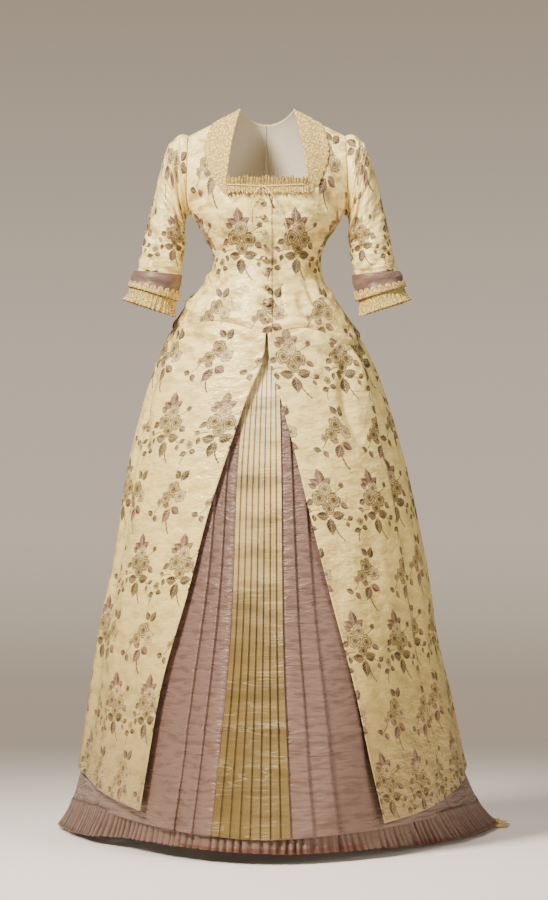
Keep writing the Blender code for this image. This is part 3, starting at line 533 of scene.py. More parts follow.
def ruffle_taffeta():
    made = taffeta("ruffle_taffeta", 0.6)
    tree = made.node_tree
    shader = tree.nodes["Principled BSDF"]
    worn = tree.nodes.new("ShaderNodeAttribute")
    worn.attribute_name = "edge_wear"
    before = shader.inputs["Base Color"].links[0].from_socket
    stain_and_shade = blended(tree, worn.outputs["Fac"], before, (0.115, 0.030, 0.018, 1))
    # Painted shade in the valleys of the gathers, laid on by the gather_shade attribute.
    deep = tree.nodes.new("ShaderNodeAttribute")
    deep.attribute_name = "gather_shade"
    shaded = blended(tree, deep.outputs["Fac"], stain_and_shade, (0.022, 0.009, 0.006, 1))
    tree.links.new(shaded, shader.inputs["Base Color"])
    return made


def wear(piece, of_point):
    """Marks how worn or stained each point of a piece is."""
    place = np.empty(len(piece.data.vertices) * 3)
    piece.data.vertices.foreach_get("co", place)
    mark = piece.data.attributes.new("edge_wear", "FLOAT", "POINT")
    mark.data.foreach_set("value", np.clip(of_point(place.reshape(-1, 3)), 0, 1))


RUFFLE_TAFFETA = ruffle_taffeta()
for number, strip in enumerate(RUFFLES):
    count = strip.gathers * POINTS_A_GATHER + 1
    angle = even_angles(strip.start + 0.10, strip.end - 0.10, count)
    front = 1.0 if strip.end < 60 and strip.start > -60 else 0.0
    turned_in = (1 - front) * (1 - ease(np.abs(angle), 44, 56))
    far = ease(np.abs(angle), 118.5, 126)
    panel = edge(PANEL_HEM, np.clip(angle, -118, 118))
    brocade = edge(OVERSKIRT_HEM, np.sign(angle) * np.maximum(np.abs(angle), 30))
    lap = 0.014 * (front + turned_in) + (1 - front - turned_in) * 0.006
    lap = lap - 0.002 * ease(np.abs(angle), 98, 103) * (1 - ease(np.abs(angle), 126, 134))
    top = panel + ease(np.abs(angle), 115.5, BAND_END) * (brocade - panel) - lap
    hem = edge(RUFFLE_HEM, angle)
    down = np.linspace(0, 1, 16)[:, None]
    flare = ease(down, 0.0, 1.0)
    along = np.linspace(0, strip.gathers, count)
    # Gathers are of uneven width and height, and lean over as they come down.
    phase = along + 0.32 * waver(along * 0.9, number + 1.3)
    phase = phase + 0.25 * down * waver(along * 0.5, number + 4.0)
    tall = 0.60 + 0.40 * waver(along * 0.9, number + 7.7)
    wave = np.sin(2 * np.pi * phase) + 0.40 * np.sin(4 * np.pi * phase + 1.3)
    wave = wave + 0.30 * waver(phase * 2.7, number + 2.2) * down
    deep = RUFFLE_DEPTH * (0.30 + 0.70 * down) * tall
    sewn = BAND_LIFT + 0.0030 - 0.0036 * far
    base = RUFFLE_LIFT * front + (1 - front) * (sewn + 0.0090 * flare + 0.0100 * far * flare)
    base = base + turned_in * (RUFFLE_LIFT - base)
    drop = top + down * (hem - top)
    drop = drop + (0.0012 * wave * tall - 0.001) * down
    lift = base + deep * wave
    across = along * GATHER_FLAT
    piece = lay_cloth(strip.node + "_gathered", on_skirt(angle, drop, lift), across, drop,
                      RUFFLE_TAFFETA)
    wear(piece, lambda place: 0.85 * (place[:, 2] < -1.4205 - 0.014 * (place[:, 1] > -0.16)))
    # Painted shade darkens the valleys of the gathers, most of all near the thread.
    shade = np.clip(0.35 - 0.55 * wave * tall, 0, 1) * (0.85 - 0.35 * down)
    mark = piece.data.attributes.new("gather_shade", "FLOAT", "POINT")
    mark.data.foreach_set("value", np.tile(shade.ravel(), 2))
    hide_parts(strip.node)
    size = flat_size(piece)

# The dust frill: a strip of cotton lace sewn inside the ruffle, that lies on the floor and
# peeps out at the left of the train. Machine-made, ecru, and worn through at its edge.
DUST_TOP = -1.4503
DUST_GATHERS = 34
LACE_COLOUR = (0.76, 0.53, 0.145, 1)
LACE_SHADE = (0.150, 0.080, 0.020, 1)


def lace(name, hole, see_through):
    """Ecru lace: a net of cells of a size, thick where flowers are worked."""
    made, tree, shader, layout = new_cloth(name, 0.85, 0.20)
    cells = tree.nodes.new("ShaderNodeTexVoronoi")
    cells.feature = "DISTANCE_TO_EDGE"
    cells.inputs["Scale"].default_value = 1 / hole
    tree.links.new(layout, cells.inputs["Vector"])
    net = span(tree, cells.outputs["Distance"], 0.06, 0.22, 1.0, 0.0)
    flowers = noise(tree, layout, 240.0, 2.0, 0.55)
    worked = span(tree, flowers, 0.50, 0.56)
    thread = maths(tree, "MAXIMUM", net, worked)
    fine = noise(tree, layout, 900.0, 2.0, 0.7)
    solid = maths(tree, "MAXIMUM", maths(tree, "MULTIPLY", net, 0.55), worked)
    colour = blended(tree, solid, LACE_SHADE, LACE_COLOUR)
    colour = blended(tree, maths(tree, "MULTIPLY", fine, 0.35), colour, (0.82, 0.61, 0.22, 1))
    tree.links.new(colour, shader.inputs["Base Color"])
    cover = maths(tree, "MULTIPLY_ADD", thread, see_through, 1 - see_through, clamp=True)
    if see_through:
        tree.links.new(cover, shader.inputs["Alpha"])
    raised(tree, shader, (thread, 0.0008, 0.7), (fine, 0.0003, 0.5))
    return made


DUST_LACE = lace("dust_lace", 0.0030, 0.55)
count = DUST_GATHERS * 6 + 1
angle = even_angles(86, 128, count)
along = np.linspace(0, DUST_GATHERS, count)
wave = np.sin(2 * np.pi * (along + 0.3 * waver(along, 3.0)))
tucked = on_skirt(angle, 1.432, -0.0108)
turned = on_skirt(angle, 1.4485, -0.009)
away = turned[:, :2] - np.array([0.0, 0.40])
away /= np.linalg.norm(away, axis=1, keepdims=True)
down = np.linspace(0, 1, 14)[:, None, None]
points = turned + down * 0
far = down[..., 0]
points[..., 2] = DUST_TOP + 0.0016 * (1 + wave * (0.4 + 0.6 * far)) * (0.5 + 0.5 * far)
spread = 0.030 + 0.004 * wave * far + 0.006 * waver(along * 1.2, 5.0)
points[..., :2] += away * (far * spread)[..., None]
points = np.concatenate([tucked[None], points])
laid = np.append(0, far.ravel() * 0.032 + 0.01)[:, None]
piece = lay_cloth("dust_frill_lace", points, along * 0.011, laid, DUST_LACE, 0.0007)
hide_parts("dust_frill")
size = flat_size(piece)

# The overskirt's two fronts: silk brocade, satin ground with roses and leaves woven in, cut
# away to slant from the waist to the side seams and faced along both slanting edges.
OPENING = [
    Opening(0.380, 0.0010, 0.0010),
    Opening(0.452, 0.0040, 0.0030),
    Opening(0.560, 0.0430, 0.0300),
    Opening(0.680, 0.0840, 0.0610),
    Opening(0.777, 0.1150, 0.0840),
    Opening(0.920, 0.1520, 0.1200),
    Opening(1.119, 0.2080, 0.1720),
    Opening(1.276, 0.2360, 0.2060),
    Opening(1.384, 0.2540, 0.2310),
]
BODICE_EDGE = [
    Edge(0, 0.421, 0.421),
    Edge(24, 0.398, 0.408),
    Edge(36, 0.394, 0.416),
    Edge(50, 0.397, 0.438),
    Edge(62, 0.402, 0.441),
    Edge(90, 0.404, 0.425),
    Edge(180, 0.430, 0.430),
]
SIDE_ANGLE = {RIGHT: 69.0, LEFT: 58.0}
TOP_TUCK = 0.012
TOP_LIFT = -0.0002
HIP_PUFF = 0.010
# One repeat of the woven pattern, and its motifs: place across and down from the repeat's
# corner, turn in degrees (90 points down), size, and the yarn it is woven in.
REPEAT = (0.116, 0.278)
# How far the weave pulls the motifs out of shape.
DRIFT = 0.006
Motif = namedtuple("Motif", "kind across down turn size yarn")
WOVEN = [
    Motif("stem", 0.004, 0.036, 62, 0.044, "brown"),
    Motif("leaf", 0.000, 0.032, 98, 0.036, "brown"),
    Motif("leaf", 0.004, 0.030, -12, 0.031, "brown"),
    Motif("leaf", -0.002, 0.031, 190, 0.030, "brown"),
    Motif("leaf", -0.004, -0.034, -96, 0.033, "mauve"),
    Motif("leaf", -0.001, -0.032, -38, 0.025, "mauve"),
    Motif("leaf", -0.007, -0.032, -152, 0.025, "mauve"),
    Motif("rose", -0.014, -0.006, 20, 0.0175, "gold"),
    Motif("rose", 0.015, -0.003, 100, 0.0165, "gold"),
    Motif("rose", 0.001, -0.025, 200, 0.0150, "pale"),
    Motif("rose", 0.001, 0.014, 300, 0.0140, "gold"),
    Motif("stem", 0.018, -0.018, -40, 0.024, "brown"),
    Motif("rose", 0.038, -0.032, 0, 0.0062, "brown"),
    Motif("leaf", 0.027, 0.002, 35, 0.022, "mauve"),
    Motif("leaf", -0.027, -0.004, 150, 0.021, "brown"),
    Motif("leaf", -0.016, -0.024, 215, 0.020, "mauve"),
    Motif("stem", -0.018, 0.016, 160, 0.026, "brown"),
    Motif("leaf", -0.034, 0.024, 100, 0.017, "brown"),
    Motif("leaf", -0.036, 0.018, 195, 0.016, "mauve"),
    Motif("stem", 0.018, 0.024, 25, 0.026, "brown"),
    Motif("leaf", 0.036, 0.036, -25, 0.017, "brown"),
    Motif("leaf", 0.034, 0.038, 80, 0.015, "mauve"),
    Motif("stem", 0.054, 0.168, 70, 0.050, "mauve"),
    Motif("leaf", 0.059, 0.166, 118, 0.034, "mauve"),
    Motif("leaf", 0.061, 0.163, 30, 0.028, "mauve"),
    Motif("leaf", 0.056, 0.163, 205, 0.025, "mauve"),
    Motif("leaf", 0.070, 0.112, -62, 0.027, "brown"),
    Motif("leaf", 0.066, 0.108, -128, 0.023, "brown"),
    Motif("rose", 0.057, 0.128, 40, 0.0175, "gold"),
    Motif("rose", 0.076, 0.142, 150, 0.0145, "pale"),
    Motif("rose", 0.041, 0.146, 270, 0.0140, "gold"),
    Motif("stem", 0.064, 0.052, 105, 0.030, "brown"),
    Motif("leaf", 0.062, 0.054, 160, 0.019, "brown"),
    Motif("leaf", 0.065, 0.050, 15, 0.019, "brown"),
    Motif("rose", 0.064, 0.040, 0, 0.0085, "gold"),
    Motif("stem", 0.014, 0.175, -65, 0.030, "mauve"),
    Motif("leaf", 0.013, 0.179, 200, 0.020, "brown"),
    Motif("leaf", 0.016, 0.177, 60, 0.020, "mauve"),
    Motif("rose", 0.025, 0.153, 60, 0.0075, "gold"),
]
# Each yarn's light and dark side as it shows on the cloth.
YARNS = {
    "brown": ((0.33, 0.215, 0.095, 1), (0.012, 0.005, 0.003, 1)),
    "mauve": ((0.43, 0.25, 0.15, 1), (0.052, 0.020, 0.014, 1)),
    "gold": ((0.60, 0.43, 0.165, 1), (0.030, 0.014, 0.005, 1)),
    "pale": ((0.78, 0.60, 0.29, 1), (0.125, 0.066, 0.024, 1)),
}


def motif_group(name):
    """An empty node group that turns a motif's own layout into its outline and shading."""
    group = bpy.data.node_groups.new(name, "ShaderNodeTree")
    group.interface.new_socket("Place", in_out="INPUT", socket_type="NodeSocketVector")
    group.interface.new_socket("Outline", in_out="OUTPUT", socket_type="NodeSocketFloat")
    group.interface.new_socket("Shading", in_out="OUTPUT", socket_type="NodeSocketFloat")
    start = group.nodes.new("NodeGroupInput")
    finish = group.nodes.new("NodeGroupOutput")
    split = group.nodes.new("ShaderNodeSeparateXYZ")
    group.links.new(start.outputs[0], split.inputs[0])
    return group, split.outputs[0], split.outputs[1], finish


def woven_leaf():
    """A pointed leaf with teeth and light veins, from its stalk at 0 to its tip at 1."""
    group, x, y, finish = motif_group("woven_leaf")
    aside = maths(group, "ABSOLUTE", y)
    arch = maths(group, "MULTIPLY", x, maths(group, "SUBTRACT", 1.0, x))
    broad = maths(group, "MULTIPLY_ADD", x, -0.95, 2.0)
    half = maths(group, "MULTIPLY", maths(group, "POWER", arch, 1.10), broad)
    teeth = maths(group, "MULTIPLY_ADD", aside, -2.5, maths(group, "MULTIPLY", x, 9.0))
    teeth = maths(group, "FRACT", teeth)
    inside = maths(group, "SUBTRACT", maths(group, "MULTIPLY_ADD", teeth, -0.060, half), aside)
    vein = maths(group, "MULTIPLY", maths(group, "MULTIPLY_ADD", aside, -0.9, x), 6.0)
    vein = maths(group, "ABSOLUTE", maths(group, "SUBTRACT", maths(group, "FRACT", vein), 0.5))
    vein = span(group, vein, 0.06, 0.20, 0.85, 0.0)
    rib = span(group, aside, 0.012, 0.040, 1.0, 0.0)
    lines = maths(group, "MAXIMUM", vein, rib)
    body = span(group, y, -0.16, 0.16, 0.58, 1.0)
    rim = span(group, inside, 0.02, 0.07, 0.60, 0.0)
    shading = maths(group, "MULTIPLY_ADD", lines, -0.75, maths(group, "ADD", body, rim),
                    clamp=True)
    group.links.new(span(group, inside, 0.0, 0.03), finish.inputs[0])
    group.links.new(shading, finish.inputs[1])
    return group


def woven_rose():
    """An open rose: five lobes round rings of petals that wind into its heart."""
    group, x, y, finish = motif_group("woven_rose")
    far = maths(group, "SQRT", maths(group, "MULTIPLY_ADD", x, x, maths(group, "MULTIPLY", y, y)))
    turn = maths(group, "ARCTAN2", y, x)
    lobes = maths(group, "ABSOLUTE", maths(group, "SINE", maths(group, "MULTIPLY", turn, 2.5)))
    inside = maths(group, "SUBTRACT", maths(group, "MULTIPLY_ADD", lobes, 0.20, 0.80), far)
    curl = maths(group, "SINE", maths(group, "MULTIPLY", turn, 3.0))
    wound = maths(group, "MULTIPLY_ADD", turn, 0.159, maths(group, "MULTIPLY", far, 3.6))
    wound = maths(group, "FRACT", maths(group, "MULTIPLY_ADD", curl, 0.16, wound))
    ring = maths(group, "ABSOLUTE", maths(group, "SUBTRACT", wound, 0.5))
    ring = span(group, ring, 0.05, 0.19, 1.0, 0.0)
    hatch = maths(group, "SINE",
                  maths(group, "MULTIPLY_ADD", far, 9.0, maths(group, "MULTIPLY", turn, 8.0)))
    heart = span(group, far, 0.05, 0.45, 0.75, 0.0)
    rim = span(group, inside, 0.02, 0.10, 0.85, 0.0)
    shading = maths(group, "MAXIMUM", maths(group, "MULTIPLY", ring, 0.95),
                    maths(group, "MAXIMUM", heart, rim))
    shading = maths(group, "MULTIPLY_ADD", hatch, 0.16, maths(group, "ADD", shading, 0.26),
                    clamp=True)
    group.links.new(span(group, inside, 0.0, 0.05), finish.inputs[0])
    group.links.new(shading, finish.inputs[1])
    return group


def woven_stem():
    """A thin bent stem with thorns, from 0 to 1."""
    group, x, y, finish = motif_group("woven_stem")
    bend = maths(group, "MULTIPLY", maths(group, "SINE", maths(group, "MULTIPLY", x, 2.6)), 0.16)
    off = maths(group, "ABSOLUTE", maths(group, "SUBTRACT", y, bend))
    ends = maths(group, "MULTIPLY", span(group, x, 0.0, 0.04),
                 span(group, x, 0.96, 1.0, 1.0, 0.0))
    thorn = maths(group, "MULTIPLY", maths(group, "FRACT", maths(group, "MULTIPLY", x, 5.0)),
                  0.020)
    line = maths(group, "SUBTRACT", maths(group, "ADD", thorn, 0.030), off)
    group.links.new(maths(group, "MULTIPLY", span(group, line, 0.0, 0.02), ends),
                    finish.inputs[0])
    finish.inputs[1].default_value = 0.80
    return group


MOTIFS = {"leaf": woven_leaf(), "rose": woven_rose(), "stem": woven_stem()}


def brocade():
    """Ivory satin that is olive-gold lower down, partly its own colour and partly painted shade,
    with every motif laid over the last.
    """
    made, tree, shader, layout = new_cloth("rose_brocade", 0.34, 0.06, 0.35, 0.40)
    height = height_share(tree, -1.36, -0.30)
    ground = ramped(tree, height, (0.40, 0.285, 0.108, 1), (0.98, 0.76, 0.28, 1),
                    (0.45, (0.82, 0.62, 0.205, 1)))
    drift = tree.nodes.new("ShaderNodeTexNoise")
    tree.links.new(layout, drift.inputs["Vector"])
    drift.inputs["Scale"].default_value = 24.0
    pulled = joined(tree, "ShaderNodeVectorMath", drift.outputs["Color"], (DRIFT, DRIFT, 0.0),
                    operation="MULTIPLY")
    pulled = joined(tree, "ShaderNodeVectorMath", layout, pulled, operation="ADD")
    colour = ground
    half = (REPEAT[0] / 2, REPEAT[1] / 2, 1.0)
    for motif in WOVEN:
        centre = (-motif.across - DRIFT / 2, -motif.down - DRIFT / 2, 0.0)
        place = joined(tree, "ShaderNodeVectorMath", pulled, centre, operation="ADD")
        place = joined(tree, "ShaderNodeVectorMath", place, half, tuple(-each for each in half),
                       operation="WRAP")
        mapping = tree.nodes.new("ShaderNodeMapping")
        mapping.vector_type = "TEXTURE"
        mapping.inputs["Rotation"].default_value[2] = np.radians(motif.turn)
        mapping.inputs["Scale"].default_value = (motif.size, motif.size, 1.0)
        tree.links.new(place, mapping.inputs["Vector"])
        woven = tree.nodes.new("ShaderNodeGroup")
        woven.node_tree = MOTIFS[motif.kind]
        tree.links.new(mapping.outputs[0], woven.inputs[0])
        light, dark = YARNS[motif.yarn]
        yarn = blended(tree, woven.outputs[1], light, dark)
        colour = blended(tree, woven.outputs[0], colour, yarn)
    apart = joined(tree, "ShaderNodeVectorMath", colour, ground, operation="DISTANCE")
    covered = apart.node.outputs["Value"]
    # Yarns fade unevenly, and the weave breaks the pattern's floats into short streaks.
    faded = noise(tree, stretched(tree, layout, (9.0, 7.0)), 1.0, 1.0)
    faded = span(tree, faded, 0.52, 0.80, 0.0, 0.18)
    streaks = noise(tree, stretched(tree, layout, (260.0, 900.0)), 1.0, 2.0, 0.7)
    faded = maths(tree, "ADD", faded, span(tree, streaks, 0.50, 0.70, 0.0, 0.16), clamp=True)
    colour = blended(tree, faded, colour, ground)
    # Painted shade: the satin is darkened in its small hollows, as if they faced away from the
    # light, and most of all on the bodice and sleeves, which are pulled taut.
    puckers = noise(tree, stretched(tree, layout, (22.0, 44.0)), 1.0, 3.0, 0.55)
    broken = maths(tree, "MULTIPLY", span(tree, puckers, 0.38, 0.53, 1.0, 0.0),
                   span(tree, height, 0.80, 0.90, 0.38, 0.80))
    shaded = joined(tree, "ShaderNodeVectorMath", colour, (0.47, 0.42, 0.35),
                    operation="MULTIPLY")
    colour = blended(tree, broken, colour, shaded)
    tree.links.new(colour, shader.inputs["Base Color"])
    tree.links.new(span(tree, covered, 0.02, 0.25, 0.30, 0.52), shader.inputs["Roughness"])
    threads = noise(tree, stretched(tree, layout, (1500.0, 200.0)), 1.0, 1.0)
    crisp = creased(tree, layout, (14.0, 34.0), 0.035)
    raised(tree, shader, (threads, 0.0002, 0.25), (puckers, 0.0080, 1.0), (crisp, 0.0012, 0.5))
    return made


def plain_lining():
    """Unbleached cotton, plain-woven, that lines the bodice, sleeves and skirts."""
    made, tree, shader, layout = new_cloth("cotton_lining", 0.80, 0.20)
    slubs = noise(tree, stretched(tree, layout, (40.0, 500.0)), 1.0, 2.0, 0.6)
    colour = blended(tree, slubs, (0.66, 0.57, 0.41, 1), (0.78, 0.70, 0.53, 1))
    tree.links.new(colour, shader.inputs["Base Color"])
    weave = noise(tree, stretched(tree, layout, (900.0, 900.0)), 1.0, 1.0)
    raised(tree, shader, (weave, 0.0003, 0.4))
    return made


ROSE_BROCADE = brocade()
COTTON_LINING = plain_lining()
# Soft folds of the fronts, from one end to the other: distance from the middle and drop
# at each end, height (below zero for a trough) and half-width.
Fold = namedtuple("Fold", "x drop to_x to_drop height width")
FRONT_FOLDS = {
    RIGHT: [
        Fold(-0.176, 0.404, -0.120, 0.418, 0.0060, 0.006),
        Fold(-0.180, 0.420, -0.135, 0.440, 0.0050, 0.006),
        Fold(-0.190, 0.452, -0.150, 0.444, 0.0045, 0.006),
        Fold(-0.170, 0.432, -0.120, 0.432, -0.0050, 0.006),
        Fold(-0.196, 0.470, -0.160, 0.520, 0.0040, 0.010),
        Fold(-0.120, 0.418, -0.040, 0.436, 0.0030, 0.006),
        Fold(-0.196, 0.480, -0.236, 0.660, -0.0100, 0.010),
        Fold(-0.060, 0.560, -0.180, 0.900, 0.0020, 0.030),
        Fold(-0.255, 0.720, -0.300, 1.050, -0.0040, 0.020),
        Fold(-0.230, 0.800, -0.290, 1.250, 0.0035, 0.022),
        Fold(-0.150, 0.900, -0.260, 1.300, -0.0025, 0.026),
    ],
    LEFT: [
        Fold(0.040, 0.418, 0.120, 0.440, 0.0035, 0.006),
        Fold(0.090, 0.424, 0.152, 0.452, 0.0060, 0.008),
        Fold(0.095, 0.446, 0.150, 0.462, -0.0055, 0.008),
        Fold(0.120, 0.470, 0.168, 0.520, 0.0035, 0.010),
        Fold(0.158, 0.445, 0.204, 0.660, -0.0120, 0.010),
        Fold(0.060, 0.560, 0.150, 0.900, 0.0020, 0.030),
        Fold(0.215, 0.760, 0.285, 1.080, -0.0040, 0.020),
        Fold(0.190, 0.800, 0.270, 1.260, 0.0035, 0.024),
        Fold(0.130, 0.900, 0.240, 1.330, -0.0025, 0.026),
    ],
}


def folded(x, drop, folds):
    """How far folds lift the cloth at a place, each soft at its ends and sides."""
    lift = np.zeros(np.broadcast(x, drop).shape)
    for fold in folds:
        run = np.array([fold.to_x - fold.x, fold.to_drop - fold.drop])
        long = np.hypot(*run)
        run /= long
        along = (x - fold.x) * run[0] + (drop - fold.drop) * run[1]
        off = -(x - fold.x) * run[1] + (drop - fold.drop) * run[0]
        off = off - 0.12 * long * np.sin(np.pi * along / long)
        near = ease(along, -0.02 * long, 0.30 * long)
        near = near * (1 - ease(along, 0.65 * long, 1.05 * long))
        lift += fold.height * near * np.exp(-((off / fold.width) ** 2))
    return lift


def along_rows(points):
    """The distance along each row of a grid of points, from its first column."""
    step = np.linalg.norm(np.diff(points, axis=1), axis=2)
    return np.concatenate([np.zeros((len(points), 1)), np.cumsum(step, axis=1)], axis=1)


for side, word in ((RIGHT, "right"), (LEFT, "left")):
    end = SIDE_ANGLE[side]
    share = np.linspace(0, 1, 70)
    down = np.linspace(0, 1, 200)[:, None]
    top = edge(BODICE_EDGE, side * end * share) - TOP_TUCK
    guess = 0.40 + down * (1.384 - 0.40) + 0 * share
    start = angle_of(SKIRT_RINGS, side * read(OPENING, word, guess), guess) * side
    angle = start + (end - start) * share
    hem = edge(OVERSKIRT_HEM, side * np.maximum(angle, 30))
    drop = top + down * (hem - top)
    start = angle_of(SKIRT_RINGS, side * read(OPENING, word, drop), drop) * side
    angle = start + (end - start) * share
    puff = ease(share, 0.55, 1) * ease(drop, 0.446, 0.48) * (1 - ease(drop, 0.52, 0.66))
    lift = TOP_LIFT * (1 - ease(down, 0.01, 0.09)) + HIP_PUFF * puff
    flat_points = on_skirt(side * angle, drop)
    hung = folded(flat_points[..., 0], drop, FRONT_FOLDS[side])
    inner = ease(share, 0.0, 0.10)
    lift = lift + hung * ease(drop - top, 0.010, 0.020) * (0.25 + 0.75 * inner)
    lift = lift + 0.0030 * ease(drop - top, 0.011, 0.018) * (1 - ease(drop - top, 0.020, 0.060))
    # The faced edge is a little stiffer and rolls out; fine drag lines cross the cloth.
    lift = lift + 0.0010 * (1 - ease(share, 0.0, 0.06))
    lift = lift + 0.0007 * waver(drop * 34 + share * 9, side) * inner
    slow = waver(share * 5.5 + drop * 2, side + 5.0) * ease(drop, 0.6, 1.0)
    lift = lift + 0.0022 * slow * inner
    points = on_skirt(side * angle, drop, lift)
    across = along_rows(points)
    placed = (side * across + (0.033 if side == RIGHT else -0.042))
    laid = drop - (0.600 if side == RIGHT else 0.473)
    piece = lay_cloth(f"brocade_front_{word}", points[:, ::side], placed[:, ::side],
                      laid[:, ::side], ROSE_BROCADE, lining=COTTON_LINING)
    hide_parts(f"overskirt_front_{word}")
    size = flat_size(piece)

# The train: the brocade back of the overskirt, gathered in under the fronts' side edges and
# laid in deep folds at the middle of the back, that spreads over the floor.
SIDE_LAP = 7.0
SIDE_STEP = 0.0026
BACK_GATHER = 0.014
TRAIN_FOLDS = 4
FOLD_DEPTH = 0.011
for side, word in ((RIGHT, "right"), (LEFT, "left")):
    start = SIDE_ANGLE[side] - SIDE_LAP
    share = np.linspace(0, 1, 112)
    angle = start + (180 - 0.12 - start) * share
    top = edge(BODICE_EDGE, side * angle) - TOP_TUCK
    hem = edge(OVERSKIRT_HEM, side * np.maximum(angle, 30))
    down = 1 - (1 - np.linspace(0, 1, 132)[:, None]) ** 1.35
    drop = top + down * (hem - top)
    under = 1 - ease(angle, start + SIDE_LAP * 0.9, start + SIDE_LAP * 2.2)
    deep = SIDE_STEP + BACK_GATHER * ease(drop, 0.38, 0.45) * (1 - ease(drop, 0.55, 0.75))
    turn = 2 * np.pi * TRAIN_FOLDS * ease(angle, 118, 184) - np.pi
    swell = FOLD_DEPTH * ease(angle, 112, 132) * ease(drop, 0.42, 0.60)
    swell = swell * (1 - ease(drop, 1.20, 1.40) * 0.75)
    lift = -deep * under + swell * (1 + np.cos(turn + 0.5 * waver(drop * 5, side + 2.0))) / 2
    lift = lift + TOP_LIFT * (1 - ease(down, 0.01, 0.09))
    # Small gathers below the tuck die away down the back, and long soft folds take over.
    gathers = np.sin(angle * 0.62 + 2.0 * waver(angle * 0.11, side))
    gathers = gathers * ease(angle, start + 10, start + 25)
    lift = lift + 0.0035 * gathers * ease(drop - top, 0.010, 0.03) * (1 - ease(drop, 0.50, 0.85))
    long_fold = waver(angle * 0.13 + 0.6 * drop, side + 8.0) * (1 - 0.6 * ease(drop, 1.25, 1.40))
    lift = lift + 0.0065 * long_fold * ease(drop, 0.50, 0.95) * (1 - under)
    lift = lift + 0.0007 * waver(drop * 30 + angle * 0.12, side + 3.0)
    points = on_skirt(side * angle, drop, lift)
    placed = side * along_rows(points) + 0.07
    piece = lay_cloth(f"brocade_train_{word}", points[:, ::side], placed[:, ::side],
                      (drop - 0.45)[:, ::side], ROSE_BROCADE, lining=COTTON_LINING)
    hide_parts(f"train_{word}")
    size = flat_size(piece)

# The bodice: two fronts and two backs of the same brocade, lined, shaped by two darts in
# each front, and tucked at the hip where they run on as the overskirt.
BODICE_RINGS = [
    Ring(0.128, 0.158, 0.158, 0.112, 0.102, 0.000, 0.80),
    Ring(0.178, 0.151, 0.151, 0.121, 0.102, 0.000, 0.80),
    Ring(0.205, 0.137, 0.139, 0.121, 0.098, 0.000, 0.85),
    Ring(0.239, 0.117, 0.116, 0.110, 0.090, 0.000, 0.90),
    Ring(0.268, 0.107, 0.108, 0.101, 0.087, 0.000, 0.95),
    Ring(0.303, 0.117, 0.111, 0.104, 0.097, 0.004, 1.00),
    Ring(0.345, 0.150, 0.136, 0.116, 0.118, 0.008, 1.00),
    Ring(0.380, 0.176, 0.159, 0.128, 0.140, 0.012, 1.00),
    Ring(0.410, 0.194, 0.180, 0.137, 0.156, 0.015, 1.00),
    Ring(0.445, 0.208, 0.198, 0.146, 0.172, 0.020, 1.00),
]
UNDERARM = 0.178
NECK_SIDE = (0.053, 0.012, 0.032)
SHOULDER_TIP = (0.156, 0.004, -0.022)
BACK_NECK = (0.0, 0.062, 0.006)
NECK_SHARE = 0.36
NECK_ROW = 0.24
ARMHOLE_REACH = 0.050
CUP = (0.078, 0.188)
CUP_SIZE = (0.042, 0.036)
CUP_RISE = 0.012
LAP_X = 0.010
UNDERLAP_X = -0.012
UNDERLAP_LIFT = -0.0024
SIDE_SEAM = 0.15


def bodice_point(angle, drop):
    """The bodice's form below the underarm, with the two darted cups of its cut."""
    points = ring_point(BODICE_RINGS, angle, drop)
    across = (np.abs(points[..., 0]) - CUP[0]) / CUP_SIZE[0]
    up = (drop - CUP[1]) / CUP_SIZE[1]
    points[..., 1] -= np.where(np.abs(angle) < 90, CUP_RISE * np.exp(-(across**2) - up**2), 0)
    return points


def on_bodice(angle, drop, lift=0.0):
    angle, drop = np.broadcast_arrays(angle, drop)
    return moved_out(bodice_point, angle, drop, lift, STEP_ROUND, STEP_DOWN)


def armhole(up, reach):
    """An armhole's edge at +X, from the underarm (0) to the shoulder tip (1)."""
    x = smooth(np.array([0, 0.35, 1]), np.array([0.151, 0.160, SHOULDER_TIP[0]]), up)
    y = reach * np.sin(np.pi * up) + SHOULDER_TIP[1] * up
    rise = (1 - np.cos(np.pi * up)) / 2
    return np.stack([x, y, -UNDERARM + (SHOULDER_TIP[2] + UNDERARM) * rise], -1)


def yoke_point(across, up, side, front):
    """The bodice above the underarm: across from the middle (0) to the armhole (1), and
    up from the underarm (0) to the shoulder seam and back neck (1)."""
    mirror = np.array([side, 1, 1])
    start = 90 * across if front else 180 - 90 * across
    low = bodice_point(side * start, UNDERARM + 0 * across) * mirror
    out = np.clip((across - NECK_SHARE) / (1 - NECK_SHARE), 0, 1)[..., None]
    top = np.array(NECK_SIDE) * (1 - out) + np.array(SHOULDER_TIP) * out
    inner = np.minimum(across / NECK_SHARE, 1)
    top[..., 0] *= np.where(inner < 1, inner, 1)
    if not front:
        dip = (1 - np.abs(inner) ** 2.2)[..., None]
        top[..., 1:] += dip * (np.array(BACK_NECK) - np.array(NECK_SIDE))[1:]
    bend = np.cos(np.pi / 2 * up) ** 0.75
    points = np.empty_like(low)
    points[..., 0] = low[..., 0] + (top[..., 0] - low[..., 0]) * up**2.2
    points[..., 1] = top[..., 1] + (low[..., 1] - top[..., 1]) * bend
    points[..., 2] = low[..., 2] + (top[..., 2] - low[..., 2]) * up
    corner = np.stack([low[..., 0] * 0 + 0.151, 0 * up, -UNDERARM + 0 * up], -1)
    tip = np.array(SHOULDER_TIP)
    plain = np.stack([
        corner[..., 0] + (tip[0] - corner[..., 0]) * up**2.2,
        tip[1] * (1 - bend),
        -UNDERARM + (tip[2] + UNDERARM) * up,
    ], -1)
    reach = -ARMHOLE_REACH if front else ARMHOLE_REACH
    pull = (np.clip(across, 0, 1) ** 3)[..., None]
    return (points + (armhole(up, reach) - plain) * pull) * mirror


